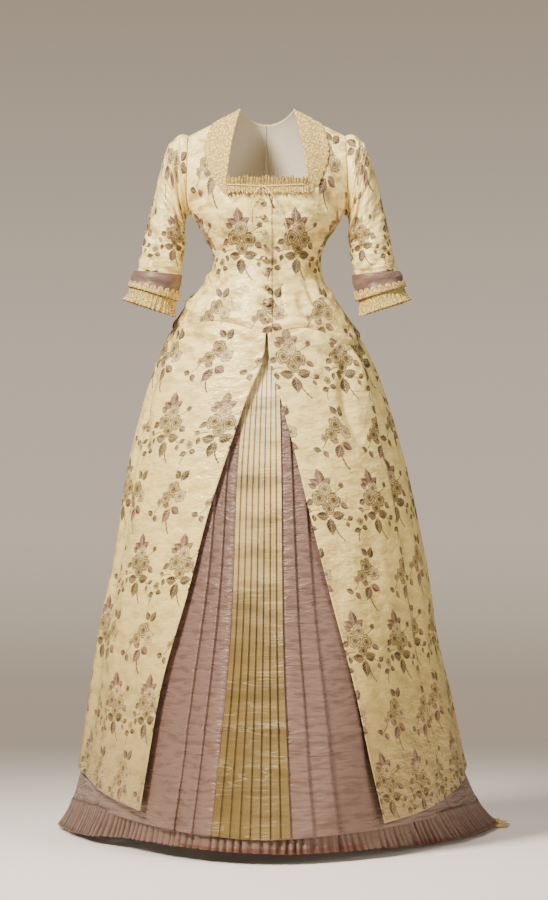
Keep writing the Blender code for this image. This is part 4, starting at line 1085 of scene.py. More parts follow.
def on_yoke(across, up, side, front, lift=0.0):
    """Points of the yoke, moved out."""
    across, up = np.broadcast_arrays(across, up)
    step = 0.004
    turned = side * (1 if front else -1)

    def surface(u, v):
        return yoke_point(u * turned, -v, side, front)

    return moved_out(surface, across * turned, -np.clip(up, step, 1 - step), lift, step, step)


# Darts, seams and drag lines of a front, as they lie on the left one: distance from the
# middle, drop, the same at the other end, height and half-width.
FRONT_SHAPING = {
    LEFT: [
        Fold(0.071, 0.160, 0.056, 0.220, -0.0024, 0.0022),
        Fold(0.056, 0.220, 0.030, 0.300, -0.0015, 0.0020),
        Fold(0.036, 0.305, 0.046, 0.392, -0.0033, 0.0022),
        Fold(0.098, 0.190, 0.083, 0.262, -0.0018, 0.0024),
        Fold(0.020, 0.162, 0.052, 0.196, -0.0018, 0.005),
        Fold(0.030, 0.200, 0.060, 0.214, -0.0021, 0.004),
        Fold(0.010, 0.236, 0.070, 0.228, 0.0024, 0.006),
        Fold(0.012, 0.262, 0.076, 0.254, 0.0023, 0.005),
        Fold(0.012, 0.284, 0.068, 0.296, -0.0021, 0.005),
        Fold(0.012, 0.312, 0.040, 0.320, 0.0019, 0.004),
        Fold(0.086, 0.296, 0.148, 0.384, 0.0057, 0.007),
        Fold(0.075, 0.300, 0.132, 0.396, -0.0051, 0.006),
        Fold(0.070, 0.318, 0.118, 0.398, 0.0045, 0.006),
        Fold(0.060, 0.345, 0.100, 0.402, -0.0033, 0.006),
        Fold(0.120, 0.130, 0.150, 0.180, -0.0053, 0.008),
        Fold(0.112, 0.165, 0.146, 0.196, 0.0045, 0.006),
        Fold(0.100, 0.222, 0.118, 0.242, 0.0030, 0.005),
        Fold(0.094, 0.246, 0.110, 0.262, -0.0027, 0.004),
    ],
    RIGHT: [
        Fold(-0.098, 0.166, -0.075, 0.238, -0.0027, 0.0022),
        Fold(-0.062, 0.212, -0.070, 0.240, -0.0018, 0.0030),
        Fold(-0.068, 0.302, -0.062, 0.386, -0.0027, 0.0022),
        Fold(-0.112, 0.200, -0.094, 0.270, -0.0018, 0.0024),
        Fold(-0.018, 0.236, -0.078, 0.232, 0.0027, 0.006),
        Fold(-0.020, 0.252, -0.084, 0.250, -0.0023, 0.005),
        Fold(-0.022, 0.276, -0.080, 0.286, 0.0021, 0.005),
        Fold(-0.096, 0.290, -0.164, 0.372, 0.0063, 0.006),
        Fold(-0.086, 0.298, -0.158, 0.386, -0.0060, 0.006),
        Fold(-0.078, 0.304, -0.146, 0.392, 0.0054, 0.006),
        Fold(-0.070, 0.330, -0.120, 0.390, -0.0039, 0.006),
        Fold(-0.118, 0.128, -0.148, 0.176, -0.0053, 0.008),
        Fold(-0.116, 0.160, -0.146, 0.192, 0.0045, 0.006),
        Fold(-0.104, 0.222, -0.122, 0.240, 0.0030, 0.005),
    ],
}
ROWS_HIGH, ROWS_LOW = 40, 84
for side, word in ((RIGHT, "right"), (LEFT, "left")):
    inner = np.linspace(0, 1, 34)
    outer = np.linspace(0, 1, 56)[1:]
    x_edge = side * (LAP_X if side == RIGHT else UNDERLAP_X)
    high = np.linspace(1.0, NECK_ROW, ROWS_HIGH)
    high = np.concatenate([high, np.linspace(NECK_ROW, 0, 16)[1:]])[:, None]
    low = np.linspace(0, 1, ROWS_LOW)[1:, None]

    def shares(drop):
        start = side * angle_of(BODICE_RINGS, side * x_edge, drop) / 90
        near = start + (NECK_SHARE - start) * inner
        far = NECK_SHARE + (1 - SIDE_SEAM / 90 - NECK_SHARE) * outer
        return np.concatenate([near, far + 0 * near[..., :1]], axis=-1)

    def underlap(across):
        return 0 * across if side == RIGHT else UNDERLAP_LIFT * (1 - ease(across, 0.11, 0.19))

    across = shares(UNDERARM + 0 * high)
    flat_points = on_yoke(across, high + 0 * across, side, True)
    hung = folded(flat_points[..., 0], -flat_points[..., 2], FRONT_SHAPING[side])
    upper = on_yoke(across, high + 0 * across, side, True, underlap(across) + hung)
    across = shares(UNDERARM + low * 0.23)
    angle = side * 90 * across
    hem = edge(BODICE_EDGE, angle)
    drop = UNDERARM + low * (hem - UNDERARM)
    flat_points = on_bodice(angle, drop)
    hung = folded(flat_points[..., 0], drop, FRONT_SHAPING[side])
    pulled = 0.5 + 0.5 * waver(across * 9 + drop * 16, side + 1.0)
    pulled = pulled * (1 + 0.7 * np.exp(-(((drop - 0.335) / 0.05) ** 2)))
    pulled = 0.0019 * pulled * waver(drop * 62 + across * 6, side)
    hung = hung + pulled * (1 - ease(across, 0.9, 1.0))
    # The tuck at the hip is a soft roll that turns under at its lower edge.
    near_hem = 1 - ease(hem - drop, 0.0, 0.020)
    roll = np.sin(np.pi * near_hem) * (0.35 + 0.65 * waver(across * 16, side + 2.0) ** 2)
    hung = hung + 0.0012 * roll - 0.0036 * ease(near_hem, 0.45, 1.0)
    lower = on_bodice(angle, drop, underlap(across) + hung)
    points = np.concatenate([upper, lower])
    rows, columns = points.shape[:2]
    keep = np.ones((rows - 1, columns - 1), bool)
    keep[: ROWS_HIGH - 1, : len(inner) - 1] = False
    placed = side * (along_rows(points) + x_edge) + 0.052
    laid = np.concatenate([UNDERARM - 0.145 * high + 0 * upper[..., 0], drop]) + 0.04
    piece = lay_cloth(f"bodice_brocade_front_{word}", points[:, ::side], placed[:, ::side],
                      laid[:, ::side], ROSE_BROCADE, keep=keep[:, ::side],
                      lining=COTTON_LINING)
    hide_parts(f"bodice_front_{word}")
    size = flat_size(piece)

    # The back runs in one with the front's shoulder seam and has a curved side-back seam.
    near = np.linspace(0.002, NECK_SHARE, 28)
    far = np.linspace(NECK_SHARE, 1 - SIDE_SEAM / 90, 42)[1:]
    across = np.concatenate([near, far])
    high = np.linspace(1, 0, 46)[:, None]
    low = np.linspace(0, 1, ROWS_LOW)[1:, None]
    upper_seam = -0.0018 * np.exp(-(((across - 0.50 - 0.42 * high**1.4) / 0.022) ** 2))
    upper = on_yoke(across + 0 * high, high + 0 * across, side, False, upper_seam)
    angle = side * (180 - 90 * across)
    hem = edge(BODICE_EDGE, angle)
    drop = UNDERARM + low * (hem - UNDERARM)
    seam = -0.0018 * np.exp(-(((across - 0.50 + 0.18 * ease(drop, 0.178, 0.27)) / 0.022) ** 2))
    middle = -0.0015 * np.exp(-((across / 0.020) ** 2))
    drag = 0.0028 * np.sin(across * 22 + drop * 30) * ease(drop, 0.29, 0.36)
    drag = drag + 0.0008 * waver(drop * 80, side)
    near_hem = 1 - ease(hem - drop, 0.0, 0.020)
    roll = 0.0022 * np.sin(np.pi * near_hem) - 0.0012 * ease(near_hem, 0.7, 1.0)
    drag = drag * ease(across, 0, 0.1) * (1 - ease(across, 0.9, 1))
    lower = on_bodice(angle + 0 * drop, drop, seam + middle + drag + roll)
    points = np.concatenate([upper, lower])
    placed = -side * along_rows(points)
    laid = np.concatenate([UNDERARM - 0.17 * high + 0 * across, drop])
    piece = lay_cloth(f"bodice_brocade_back_{word}", points[:, ::-side], placed[:, ::-side],
                      laid[:, ::-side], ROSE_BROCADE, lining=COTTON_LINING)
    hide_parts(f"bodice_back_{word}")
    size = flat_size(piece)

# The sleeves: brocade, each cut in one with a seam inside the arm, set in at the armhole and
# bent a little at the elbow, so that the cloth breaks into folds inside it and above the cuff.
Cuff = namedtuple("Cuff", "outer_x outer_drop inner_x inner_drop middle depth")
SLEEVE_RINGS = [
    Cuff(0.1790, 0.0220, 0.1610, 0.1830, 0.002, 0.0545),
    Cuff(0.1990, 0.0440, 0.1625, 0.1900, 0.001, 0.0580),
    Cuff(0.2160, 0.1000, 0.1635, 0.2020, 0.000, 0.0585),
    Cuff(0.2310, 0.1650, 0.1640, 0.2180, -0.003, 0.0575),
    Cuff(0.2430, 0.2200, 0.1650, 0.2410, -0.007, 0.0550),
    Cuff(0.2530, 0.2620, 0.1680, 0.2720, -0.011, 0.0535),
    Cuff(0.2610, 0.2970, 0.1730, 0.3060, -0.014, 0.0525),
]
SLEEVE_GAP = 0.0002
SLEEVE_ROUND = 0.345
# Breaks in a sleeve: turn round it from the outside (0) by the back, share down it, the
# same at the other end, height and half-width in shares.
SLEEVE_FOLDS = [
    (4.90, 0.10, 3.60, 0.30, -0.0075, 0.045),
    (4.75, 0.22, 3.40, 0.40, 0.0067, 0.045),
    (4.60, 0.30, 3.30, 0.52, -0.0057, 0.045),
    (5.30, 0.02, 4.50, 0.12, -0.0045, 0.040),
    (4.40, 0.80, 3.20, 0.86, 0.0045, 0.035),
    (4.90, 0.90, 3.60, 0.95, -0.0045, 0.030),
    (5.70, 0.93, 4.60, 0.96, 0.0033, 0.028),
    (4.60, 0.60, 3.50, 0.66, -0.0036, 0.040),
    (2.00, 0.30, 3.00, 0.45, -0.0060, 0.050),
    (1.80, 0.50, 2.90, 0.60, 0.0053, 0.050),
    (1.60, 0.74, 2.80, 0.82, -0.0045, 0.040),
    (0.90, 0.04, 1.80, 0.16, -0.0045, 0.040),
]


def whole_turn(count, whole=2 * np.pi):
    """Places evenly round something closed, without its last, which is its first."""
    return np.linspace(0, whole, count + 1)[:-1]


def tube_points(rings, turn, at, swell):
    """Points of a sleeve at +X: turned from its outer side round by the back, and at
    shares down it, moved out by a swell."""
    at = np.broadcast_to(at if np.ndim(at) > 1 else at[:, None], turn.shape)
    knots = np.linspace(0, 1, len(rings))
    row = {name: smooth(knots, column(rings, name), at) for name in Cuff._fields}
    outer = np.stack([row["outer_x"], 0 * at, -row["outer_drop"]], -1)
    inner = np.stack([row["inner_x"], 0 * at, -row["inner_drop"]], -1)
    size = np.linalg.norm(outer - inner, axis=-1) / 2
    reach = np.cos(turn) * (size + swell) / size
    points = (outer + inner) / 2 + (outer - inner) / 2 * reach[..., None]
    points[..., 1] += row["middle"] + (row["depth"] + swell) * np.sin(turn)
    return points


for side, word in ((RIGHT, "right"), (LEFT, "left")):
    count = 110
    turn = whole_turn(count)
    down = np.linspace(0, 1, 106)[1:]
    grid_turn, grid_down = np.meshgrid(turn, down)
    swell = np.zeros(grid_turn.shape)
    for turn_a, down_a, turn_b, down_b, high, wide in SLEEVE_FOLDS:
        run = np.clip((grid_turn - turn_a) / (turn_b - turn_a), 0, 1)
        off = grid_down - (down_a + (down_b - down_a) * run) - 0.03 * np.sin(np.pi * run)
        swell += high * np.sin(np.pi * run) * np.exp(-((off / wide) ** 2))
    slow = waver(grid_turn * 2 + grid_down * 9, side + 6.0)
    swell += 0.0026 * slow * ease(grid_down, 0.05, 0.2)
    swell += 0.0011 * waver(grid_down * 60 + np.sin(grid_turn) * 3, side)
    # The folds die away at the head seam and where the cuff is sewn on.
    swell *= ease(grid_down, 0.0, 0.06) * (1 - ease(grid_down, 0.97, 1.0))
    body = tube_points(SLEEVE_RINGS, grid_turn, down, swell)
    reach = np.where(turn <= np.pi, ARMHOLE_REACH, -ARMHOLE_REACH)
    head = armhole(1 - np.minimum(turn, 2 * np.pi - turn) / np.pi, reach)
    head[:, 0] += SLEEVE_GAP
    # The cap rises over the shoulder in a small rounded fullness beside the seam.
    steps = np.linspace(0, 1, 9)[:-1, None, None]
    cap = head + (body[0] - head) * steps
    full = np.maximum(np.cos(turn), 0)[:, None] * 0.0030 + 0.0012
    cap[..., 2:] += full * np.sin(np.pi * steps)
    points = np.concatenate([cap, body]) * np.array([side, 1, 1])
    across = np.broadcast_to(whole_turn(count, SLEEVE_ROUND), points.shape[:2])
    laid = np.concatenate([-0.02 + 0.02 * steps[:, :, 0] + 0 * turn, 0.27 * grid_down]) + 0.11
    piece = lay_cloth(f"brocade_sleeve_{word}", points[:, ::side], across, laid[:, ::side],
                      ROSE_BROCADE, lining=COTTON_LINING, closed=True)
    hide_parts(f"sleeve_{word}")

# The cuffs: taffeta folded loosely round the sleeve's end, with a row of crochet scallops
# along the lower edge and a gathered frill of ecru net sewn inside.
CUFF_RINGS = [
    Cuff(0.2655, 0.2930, 0.1690, 0.3020, -0.014, 0.0570),
    Cuff(0.2720, 0.3090, 0.1740, 0.3280, -0.016, 0.0580),
    Cuff(0.2760, 0.3240, 0.1790, 0.3530, -0.018, 0.0580),
]
CUFF_FRILL_RINGS = [
    Cuff(0.2713, 0.3215, 0.1827, 0.3505, -0.018, 0.0536),
    Cuff(0.2778, 0.3390, 0.1840, 0.3700, -0.019, 0.0572),
    Cuff(0.2860, 0.3510, 0.1830, 0.3840, -0.020, 0.0630),
]
CUFF_TAFFETA = taffeta("cuff_taffeta", 0.8)
CUFF_ROUND = 0.355
CUFF_POINTS = 120
SCALLOPS_ROUND = 0.37
SCALLOPS = 22
FRILL_ROUND = 0.60
FRILL_DEEP = 0.032
LACE_WALL = 0.0009
NET_WALL = 0.0005
CUFF_GATHERS = 34
FRILL_LACE = lace("frill_lace", 0.0026, 0.35)
SCALLOP_LACE = lace("scallop_lace", 0.0018, 0.0)
for side, word in ((RIGHT, "right"), (LEFT, "left")):
    turn = whole_turn(CUFF_POINTS)
    down = np.linspace(0, 1, 24)
    grid_turn, grid_down = np.meshgrid(turn, down)
    swell = 0.0016 * np.sin(grid_down * 8 + 1.5 * waver(grid_turn * 1.5, side))
    swell += 0.0012 * waver(grid_turn * 3 + grid_down * 4, side + 1.0)
    swell *= np.sin(np.pi * grid_down)
    points = tube_points(CUFF_RINGS, grid_turn, down, swell) * np.array([side, 1, 1])
    across = np.broadcast_to(whole_turn(CUFF_POINTS, CUFF_ROUND), points.shape[:2])
    piece = lay_cloth(f"taffeta_cuff_{word}", points[:, ::side], across, 0.045 * grid_down,
                      CUFF_TAFFETA, closed=True)
    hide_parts(f"cuff_{word}")

    # The scallops lie on the cuff's lower edge: each is a small fan with a thick rim.
    count = SCALLOPS * 10
    turn = whole_turn(count)
    bite = np.abs(np.sin(SCALLOPS / 2 * turn))
    down = np.linspace(0, 1, 8)
    grid_turn, grid_down = np.meshgrid(turn, down)
    start = 0.80 - 0.20 * bite**0.6
    at = start + (1.0 - start) * grid_down
    swell = 0.0022 + 0.0006 * np.sin(np.pi * grid_down)
    points = tube_points(CUFF_RINGS, grid_turn, at, swell) * np.array([side, 1, 1])
    across = np.broadcast_to(whole_turn(count, SCALLOPS_ROUND), points.shape[:2])
    piece = lay_cloth(f"cuff_scallops_{word}", points[:, ::side], across, 0.012 * grid_down,
                      SCALLOP_LACE, LACE_WALL, closed=True)
    size = flat_size(piece)

    count = CUFF_GATHERS * 7
    turn = whole_turn(count)
    down = np.linspace(0, 1, 22)
    grid_turn, grid_down = np.meshgrid(turn, down)
    phase = CUFF_GATHERS * grid_turn + 1.3 * np.sin(5 * grid_turn + 2 * grid_down + side)
    phase = phase + 0.8 * np.sin(11 * grid_turn)
    tall = 0.65 + 0.35 * np.sin(7 * grid_turn + 2.0)
    swell = 0.0032 * (0.22 + 0.78 * grid_down) * tall * np.sin(phase)
    points = tube_points(CUFF_FRILL_RINGS, grid_turn, down, swell)
    points[..., 2] += 0.0016 * grid_down * np.cos(phase) * tall
    points = points * np.array([side, 1, 1])
    across = np.broadcast_to(whole_turn(count, FRILL_ROUND), points.shape[:2])
    piece = lay_cloth(f"net_frill_{word}", points[:, ::side], across, FRILL_DEEP * grid_down,
                      FRILL_LACE, NET_WALL, closed=True)
    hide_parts(f"cuff_frill_{word}")
    size = flat_size(piece)

# The lace round the neck: a flat band of worked cotton lace laid on the brocade from one end
# of the bosom frill over the shoulders to the other, scalloped along its outer edge.
BAND_LACE = lace("band_lace", 0.0024, 0.0)
LACE_LIFT = 0.0021
NECK_BACK_WIDE = 0.05
for side, word in ((RIGHT, "right"), (LEFT, "left")):
    up = np.linspace(0.995, 0.17, 110)[:, None]
    wide = np.where(up > 0.75, 0.68, 0.68 - 0.26 * ease(0.75 - up, 0, 0.65))
    wide = NECK_SHARE + (wide - NECK_SHARE) * (0.15 + 0.85 * ease(up, 0.16, 0.30))
    scallops = 0.018 * np.abs(np.sin(up * 40)) + 0.006 * np.abs(np.sin(up * 120))
    share = np.linspace(0, 1, 22)
    start = NECK_SHARE - 0.006
    across = start + (wide + scallops - start) * share
    ripple = 0.0007 * waver(up * 60 + share * 8, side) + 0.0009 * (1 - share) ** 3
    points = on_yoke(across, up + 0 * across, side, True, LACE_LIFT + ripple)
    placed = side * along_rows(points)
    piece = lay_cloth(f"neck_band_{word}", points[:, ::side], placed[:, ::side], 0.19 * up,
                      BAND_LACE, LACE_WALL)
    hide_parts(f"neck_lace_{word}")
    size = flat_size(piece)

half = np.concatenate([np.linspace(0, NECK_SHARE, 40), np.linspace(NECK_SHARE, 0.70, 24)[1:]])
rows = []
for up in np.linspace(0.995, 0.70, 20):
    low = up + 0.035 * np.abs(np.sin(half * 24)) * (up < 0.73)
    left = on_yoke(half, low, LEFT, False, LACE_LIFT + 0 * half)
    right = on_yoke(half, low, RIGHT, False, LACE_LIFT + 0 * half)
    rows.append(np.concatenate([left[::-1], right[1:]]))
points = np.array(rows)
laid = np.linspace(0, NECK_BACK_WIDE, 20)[:, None]
piece = lay_cloth("neck_band_back", points, along_rows(points), laid, BAND_LACE, LACE_WALL)
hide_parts("neck_lace_back")
size = flat_size(piece)

# The bosom frill: a strip of fine lace gathered along its middle by a cord, that stands up
# at the neck and down on the fronts.
FrillRow = namedtuple("FrillRow", "drop lift depth")
FRILL_ROWS = [
    FrillRow(0.1120, 0.0085, 0.0030),
    FrillRow(0.1195, 0.0062, 0.0024),
    FrillRow(0.1270, 0.0031, 0.0010),
    FrillRow(0.1355, 0.0058, 0.0024),
    FrillRow(0.1440, 0.0080, 0.0030),
]
FRILL_HALF = 0.080
BOSOM_WIDE = 0.036
FRILL_GATHERS = 27


def chest_point(x, drop, lift):
    """Points in front of the chest, also above the bottom of the neckline."""
    angle = angle_of(BODICE_RINGS, x, UNDERARM + 0 * x)
    up = np.clip((UNDERARM - drop) / (UNDERARM + NECK_SIDE[2]), 0.02, NECK_ROW)
    right = on_yoke(-angle / 90, up, RIGHT, True, lift)
    left = on_yoke(angle / 90, up, LEFT, True, lift)
    below = on_bodice(angle, drop, lift)
    above = np.where((x < 0)[..., None], right, left)
    points = np.where((drop > UNDERARM)[..., None], below, above)
    points[..., 2] = np.where(drop > UNDERARM, points[..., 2], -drop)
    return points


along = np.linspace(0, FRILL_GATHERS, FRILL_GATHERS * 8 + 1)
at = np.linspace(0, 1, 26)[:, None]
knots = np.linspace(0, 1, len(FRILL_ROWS))
row = {name: smooth(knots, column(FRILL_ROWS, name), at) for name in FrillRow._fields}
phase = along + 0.30 * waver(along * 1.1, 2.0) + 0.35 * at * waver(along * 0.7, 6.0)
tall = 0.7 + 0.3 * waver(along * 0.8, 9.0)
wave = np.sin(2 * np.pi * phase)
x = FRILL_HALF * (2 * along / FRILL_GATHERS - 1) + 0 * at
ragged = 0.0026 * (wave * tall + waver(along * 0.9, 4.0)) + 0.0009 * np.sin(6 * np.pi * phase)
drop = row["drop"] + ragged * (2 * at - 1)
points = chest_point(x, drop, row["lift"] + row["depth"] * wave * tall)
piece = lay_cloth("bosom_frill", points, along * 0.012, BOSOM_WIDE * at, FRILL_LACE, NET_WALL)
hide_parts("neck_frill")
size = flat_size(piece)

# The drawstring: a thin two-ply cotton cord run through the frill from each end and tied at
# the right of the middle in a plain knot, with both ends left hanging free.
CORD_WIDE = 0.0022
KNOT = (-0.0098, 0.1310)
KNOT_LIFT = 0.0082
KNOT_REACH = (0.0021, 0.0015)
KNOT_WIDE = 0.0021
CORD_TWIST = 0.0075
RoutePoint = namedtuple("RoutePoint", "x drop lift")
CORD_ROUTES = {
    "drawstring_right": [
        RoutePoint(-0.0780, 0.1270, 0.0071),
        RoutePoint(-0.0560, 0.1280, 0.0068),
        RoutePoint(-0.0340, 0.1290, 0.0068),
        RoutePoint(-0.0146, 0.1300, 0.0078),
        RoutePoint(-0.0175, 0.1350, 0.0125),
        RoutePoint(-0.0240, 0.1440, 0.0165),
        RoutePoint(-0.0290, 0.1560, 0.0120),
        RoutePoint(-0.0320, 0.1700, 0.0060),
        RoutePoint(-0.0335, 0.1860, 0.0045),
        RoutePoint(-0.0330, 0.2020, 0.0040),
    ],
    "drawstring_left": [
        RoutePoint(0.0730, 0.1270, 0.0071),
        RoutePoint(0.0500, 0.1280, 0.0068),
        RoutePoint(0.0280, 0.1290, 0.0068),
        RoutePoint(0.0060, 0.1300, 0.0071),
        RoutePoint(-0.0055, 0.1305, 0.0082),
        RoutePoint(0.0000, 0.1350, 0.0135),
        RoutePoint(0.0080, 0.1440, 0.0168),
        RoutePoint(0.0160, 0.1560, 0.0130),
        RoutePoint(0.0250, 0.1720, 0.0075),
        RoutePoint(0.0330, 0.1880, 0.0050),
        RoutePoint(0.0400, 0.2040, 0.0042),
        RoutePoint(0.0480, 0.2230, 0.0042),
    ],
}


def smooth_route(points, steps):
    """A smooth curve through a route's points."""
    ends = np.vstack([2 * points[0] - points[1], points, 2 * points[-1] - points[-2]])
    made = []
    for i in range(1, len(ends) - 2):
        a, b, c, d = ends[i - 1 : i + 3]
        for t in np.arange(steps) / steps:
            made.append(b + (c - a) * t / 2 + (2 * a - 5 * b + 4 * c - d) * t**2 / 2
                        + (3 * b - a - 3 * c + d) * t**3 / 2)
    return np.array(made + [points[-1]])


def cotton():
    made, tree, shader, layout = new_cloth("cream_cotton", 0.75, 0.25)
    fibres = noise(tree, stretched(tree, layout, (3.0, 900.0)), 1.0, 2.0, 0.6)
    colour = blended(tree, fibres, (0.52, 0.38, 0.15, 1), (0.80, 0.66, 0.34, 1))
    tree.links.new(colour, shader.inputs["Base Color"])
    raised(tree, shader, (fibres, 0.0003, 0.5))
    return made


def closed_piece(name, vertices, faces, flat, cloth):
    """A closed solid of a material, with a place on the flat cloth for each vertex."""
    mesh = bpy.data.meshes.new(name)
    mesh.from_pydata(vertices, [], faces)
    work = bmesh.new()
    work.from_mesh(mesh)
    bmesh.ops.recalc_face_normals(work, faces=work.faces)
    work.to_mesh(mesh)
    work.free()
    corners = [loop.vertex_index for loop in mesh.loops]
    layout = mesh.uv_layers.new(name="cloth")
    layout.data.foreach_set("uv", flat[corners].ravel())
    mesh.shade_smooth()
    mesh.materials.append(cloth)
    made = bpy.data.objects.new(name, mesh)
    bpy.context.scene.collection.objects.link(made)
    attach(made, "root")
    return made


def closed_tube(name, line, radius, sides=14):
    """A round cord of two plies along a line, with rounded ends."""
    ahead = np.gradient(line, axis=0)
    ahead /= np.linalg.norm(ahead, axis=1, keepdims=True)
    aside = np.cross(ahead, (0.0, 1.0, 0.0))
    aside /= np.linalg.norm(aside, axis=1, keepdims=True)
    up = np.cross(aside, ahead)
    run = np.concatenate([[0], np.cumsum(np.linalg.norm(np.diff(line, axis=0), axis=1))])
    turn = whole_turn(sides)
    ply = 1 - 0.16 * np.cos(turn[None] - 2 * np.pi * run[:, None] / CORD_TWIST) ** 2
    taper = np.ones(len(line))
    taper[[0, -1]] = 0.55
    reach = radius * ply * taper[:, None]
    rings = line[:, None] + reach[..., None] * (
        np.cos(turn)[None, :, None] * aside[:, None] + np.sin(turn)[None, :, None] * up[:, None]
    )
    vertices = rings.reshape(-1, 3).tolist() + [line[0].tolist(), line[-1].tolist()]
    faces = []
    for i in range(len(line) - 1):
        for j in range(sides):
            k = (j + 1) % sides
            faces.append((i * sides + j, (i + 1) * sides + j, (i + 1) * sides + k, i * sides + k))
    last = (len(line) - 1) * sides
    for j in range(sides):
        k = (j + 1) % sides
        faces.append((len(vertices) - 2, j, k))
        faces.append((len(vertices) - 1, last + k, last + j))
    index = np.arange(len(vertices))
    down = run[np.minimum(index // sides, len(run) - 1)]
    flat = np.stack([0.003 * turn[index % sides], down], -1)
    return closed_piece(name, vertices, faces, flat, COTTON), run[-1]


COTTON = cotton()
for node, route in CORD_ROUTES.items():
    points = chest_point(column(route, "x"), column(route, "drop"), column(route, "lift"))
    line = smooth_route(points, 14)
    piece, long = closed_tube(node + "_cord", line, CORD_WIDE / 2)
    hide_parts(node)

# The knot: the cord passed twice round itself and drawn up.
centre = chest_point(np.array([KNOT[0]]), np.array([KNOT[1]]), KNOT_LIFT)[0]
turn = np.linspace(0, 2 * np.pi, 60)[:, None]
around = np.concatenate([KNOT_REACH[0] * np.cos(turn), KNOT_REACH[1] * np.sin(2 * turn),
                         KNOT_REACH[0] * np.sin(turn)], axis=1)
knot, _ = closed_tube("drawstring_tie", centre + around, KNOT_WIDE / 2, 10)
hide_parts("drawstring_knot")

# The nine buttons: small moulds covered in gathered brocade, each on a thread shank. They
# are fastened: each has come through a worked buttonhole in the right front's edge.
Button = namedtuple("Button", "x drop off")
BUTTONS = [
    Button(-0.0100, 0.1610, 0.0004),
    Button(-0.0080, 0.1910, 0.0003),
    Button(-0.0072, 0.2200, -0.0006),
    Button(-0.0062, 0.2480, 0.0006),
    Button(-0.0052, 0.2740, 0.0004),
    Button(-0.0042, 0.3000, 0.0004),
    Button(-0.0020, 0.3300, 0.0004),
    Button(0.0000, 0.3620, 0.0004),
    Button(0.0015, 0.3930, 0.0002),
]
BUTTON_RADIUS = 0.0061
BUTTON_FLAT = 0.72
HOLE_LONG = 0.0125
HOLE_WIDE = 0.0022
HOLE_AWAY = 0.0035
STITCH_LIFT = 0.0004


def button_satin():
    made, tree, shader, layout = new_cloth("button_satin", 0.30, 0.15, 0.35, 0.3)
    shine = noise(tree, stretched(tree, layout, (900.0, 500.0)), 1.0, 3.0)
    patch = noise(tree, stretched(tree, layout, (130.0, 160.0)), 1.0, 1.0)
    colour = blended(tree, span(tree, patch, 0.50, 0.62), (0.50, 0.36, 0.16, 1),
                     (0.085, 0.048, 0.024, 1))
    tree.links.new(colour, shader.inputs["Base Color"])
    raised(tree, shader, (shine, 0.0003, 0.5))
    return made


BUTTON_SATIN = button_satin()
rows, columns = 20, 30
polar = np.linspace(0, np.pi, rows)[:, None]
turn = whole_turn(columns)
for number, button in enumerate(BUTTONS, 1):
    off = BUTTON_RADIUS * BUTTON_FLAT + button.off
    centre = chest_point(np.array([button.x]), np.array([button.drop]), off)[0]
    gathers = np.abs(np.sin(5 * turn + number)) * np.sin(polar) ** 2 * ease(polar, 0.9, 2.0)
    dimple = ease(polar, 0.0, 0.5) * (1 - ease(polar, 0.5, 0.9))
    size = BUTTON_RADIUS * (1 - 0.04 * dimple) * (1 - 0.045 * gathers)
    ball = np.stack([
        size * np.sin(polar) * np.cos(turn),
        -size * np.cos(polar) * BUTTON_FLAT + 0 * turn,
        size * np.sin(polar) * np.sin(turn),
    ], -1) + centre
    vertices = [ball[0, 0].tolist()] + ball[1:-1].reshape(-1, 3).tolist() + [ball[-1, 0].tolist()]
    faces = []
    for j in range(columns):
        k = (j + 1) % columns
        faces.append((0, 1 + j, 1 + k))
        for here in range(1, 1 + (rows - 3) * columns, columns):
            below = here + columns
            faces.append((here + j, below + j, below + k, here + k))
        faces.append((len(vertices) - 1, below + k, below + j))
    flat = np.array(vertices)[:, [0, 2]]
    piece = closed_piece(f"covered_button_{number}", vertices, faces, flat, BUTTON_SATIN)
    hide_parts(f"button_{number}")


def on_front(x, drop, lift):
    """Points on the right front below the neckline, at distances from the middle."""
    return on_bodice(angle_of(BODICE_RINGS, x, drop), drop, lift)


def thread_stitch(name, long, radius):
    """One stitch of thread, a rounded bar along X."""
    mesh = bpy.data.meshes.new(name)
    work = bmesh.new()
    bmesh.ops.create_uvsphere(work, u_segments=5, v_segments=4, radius=1.0)
    for vertex in work.verts:
        vertex.co = (vertex.co.z * long / 2, vertex.co.x * radius, vertex.co.y * radius)
    work.to_mesh(mesh)
    work.free()
    mesh.shade_smooth()
    return bpy.data.objects.new(name, mesh)


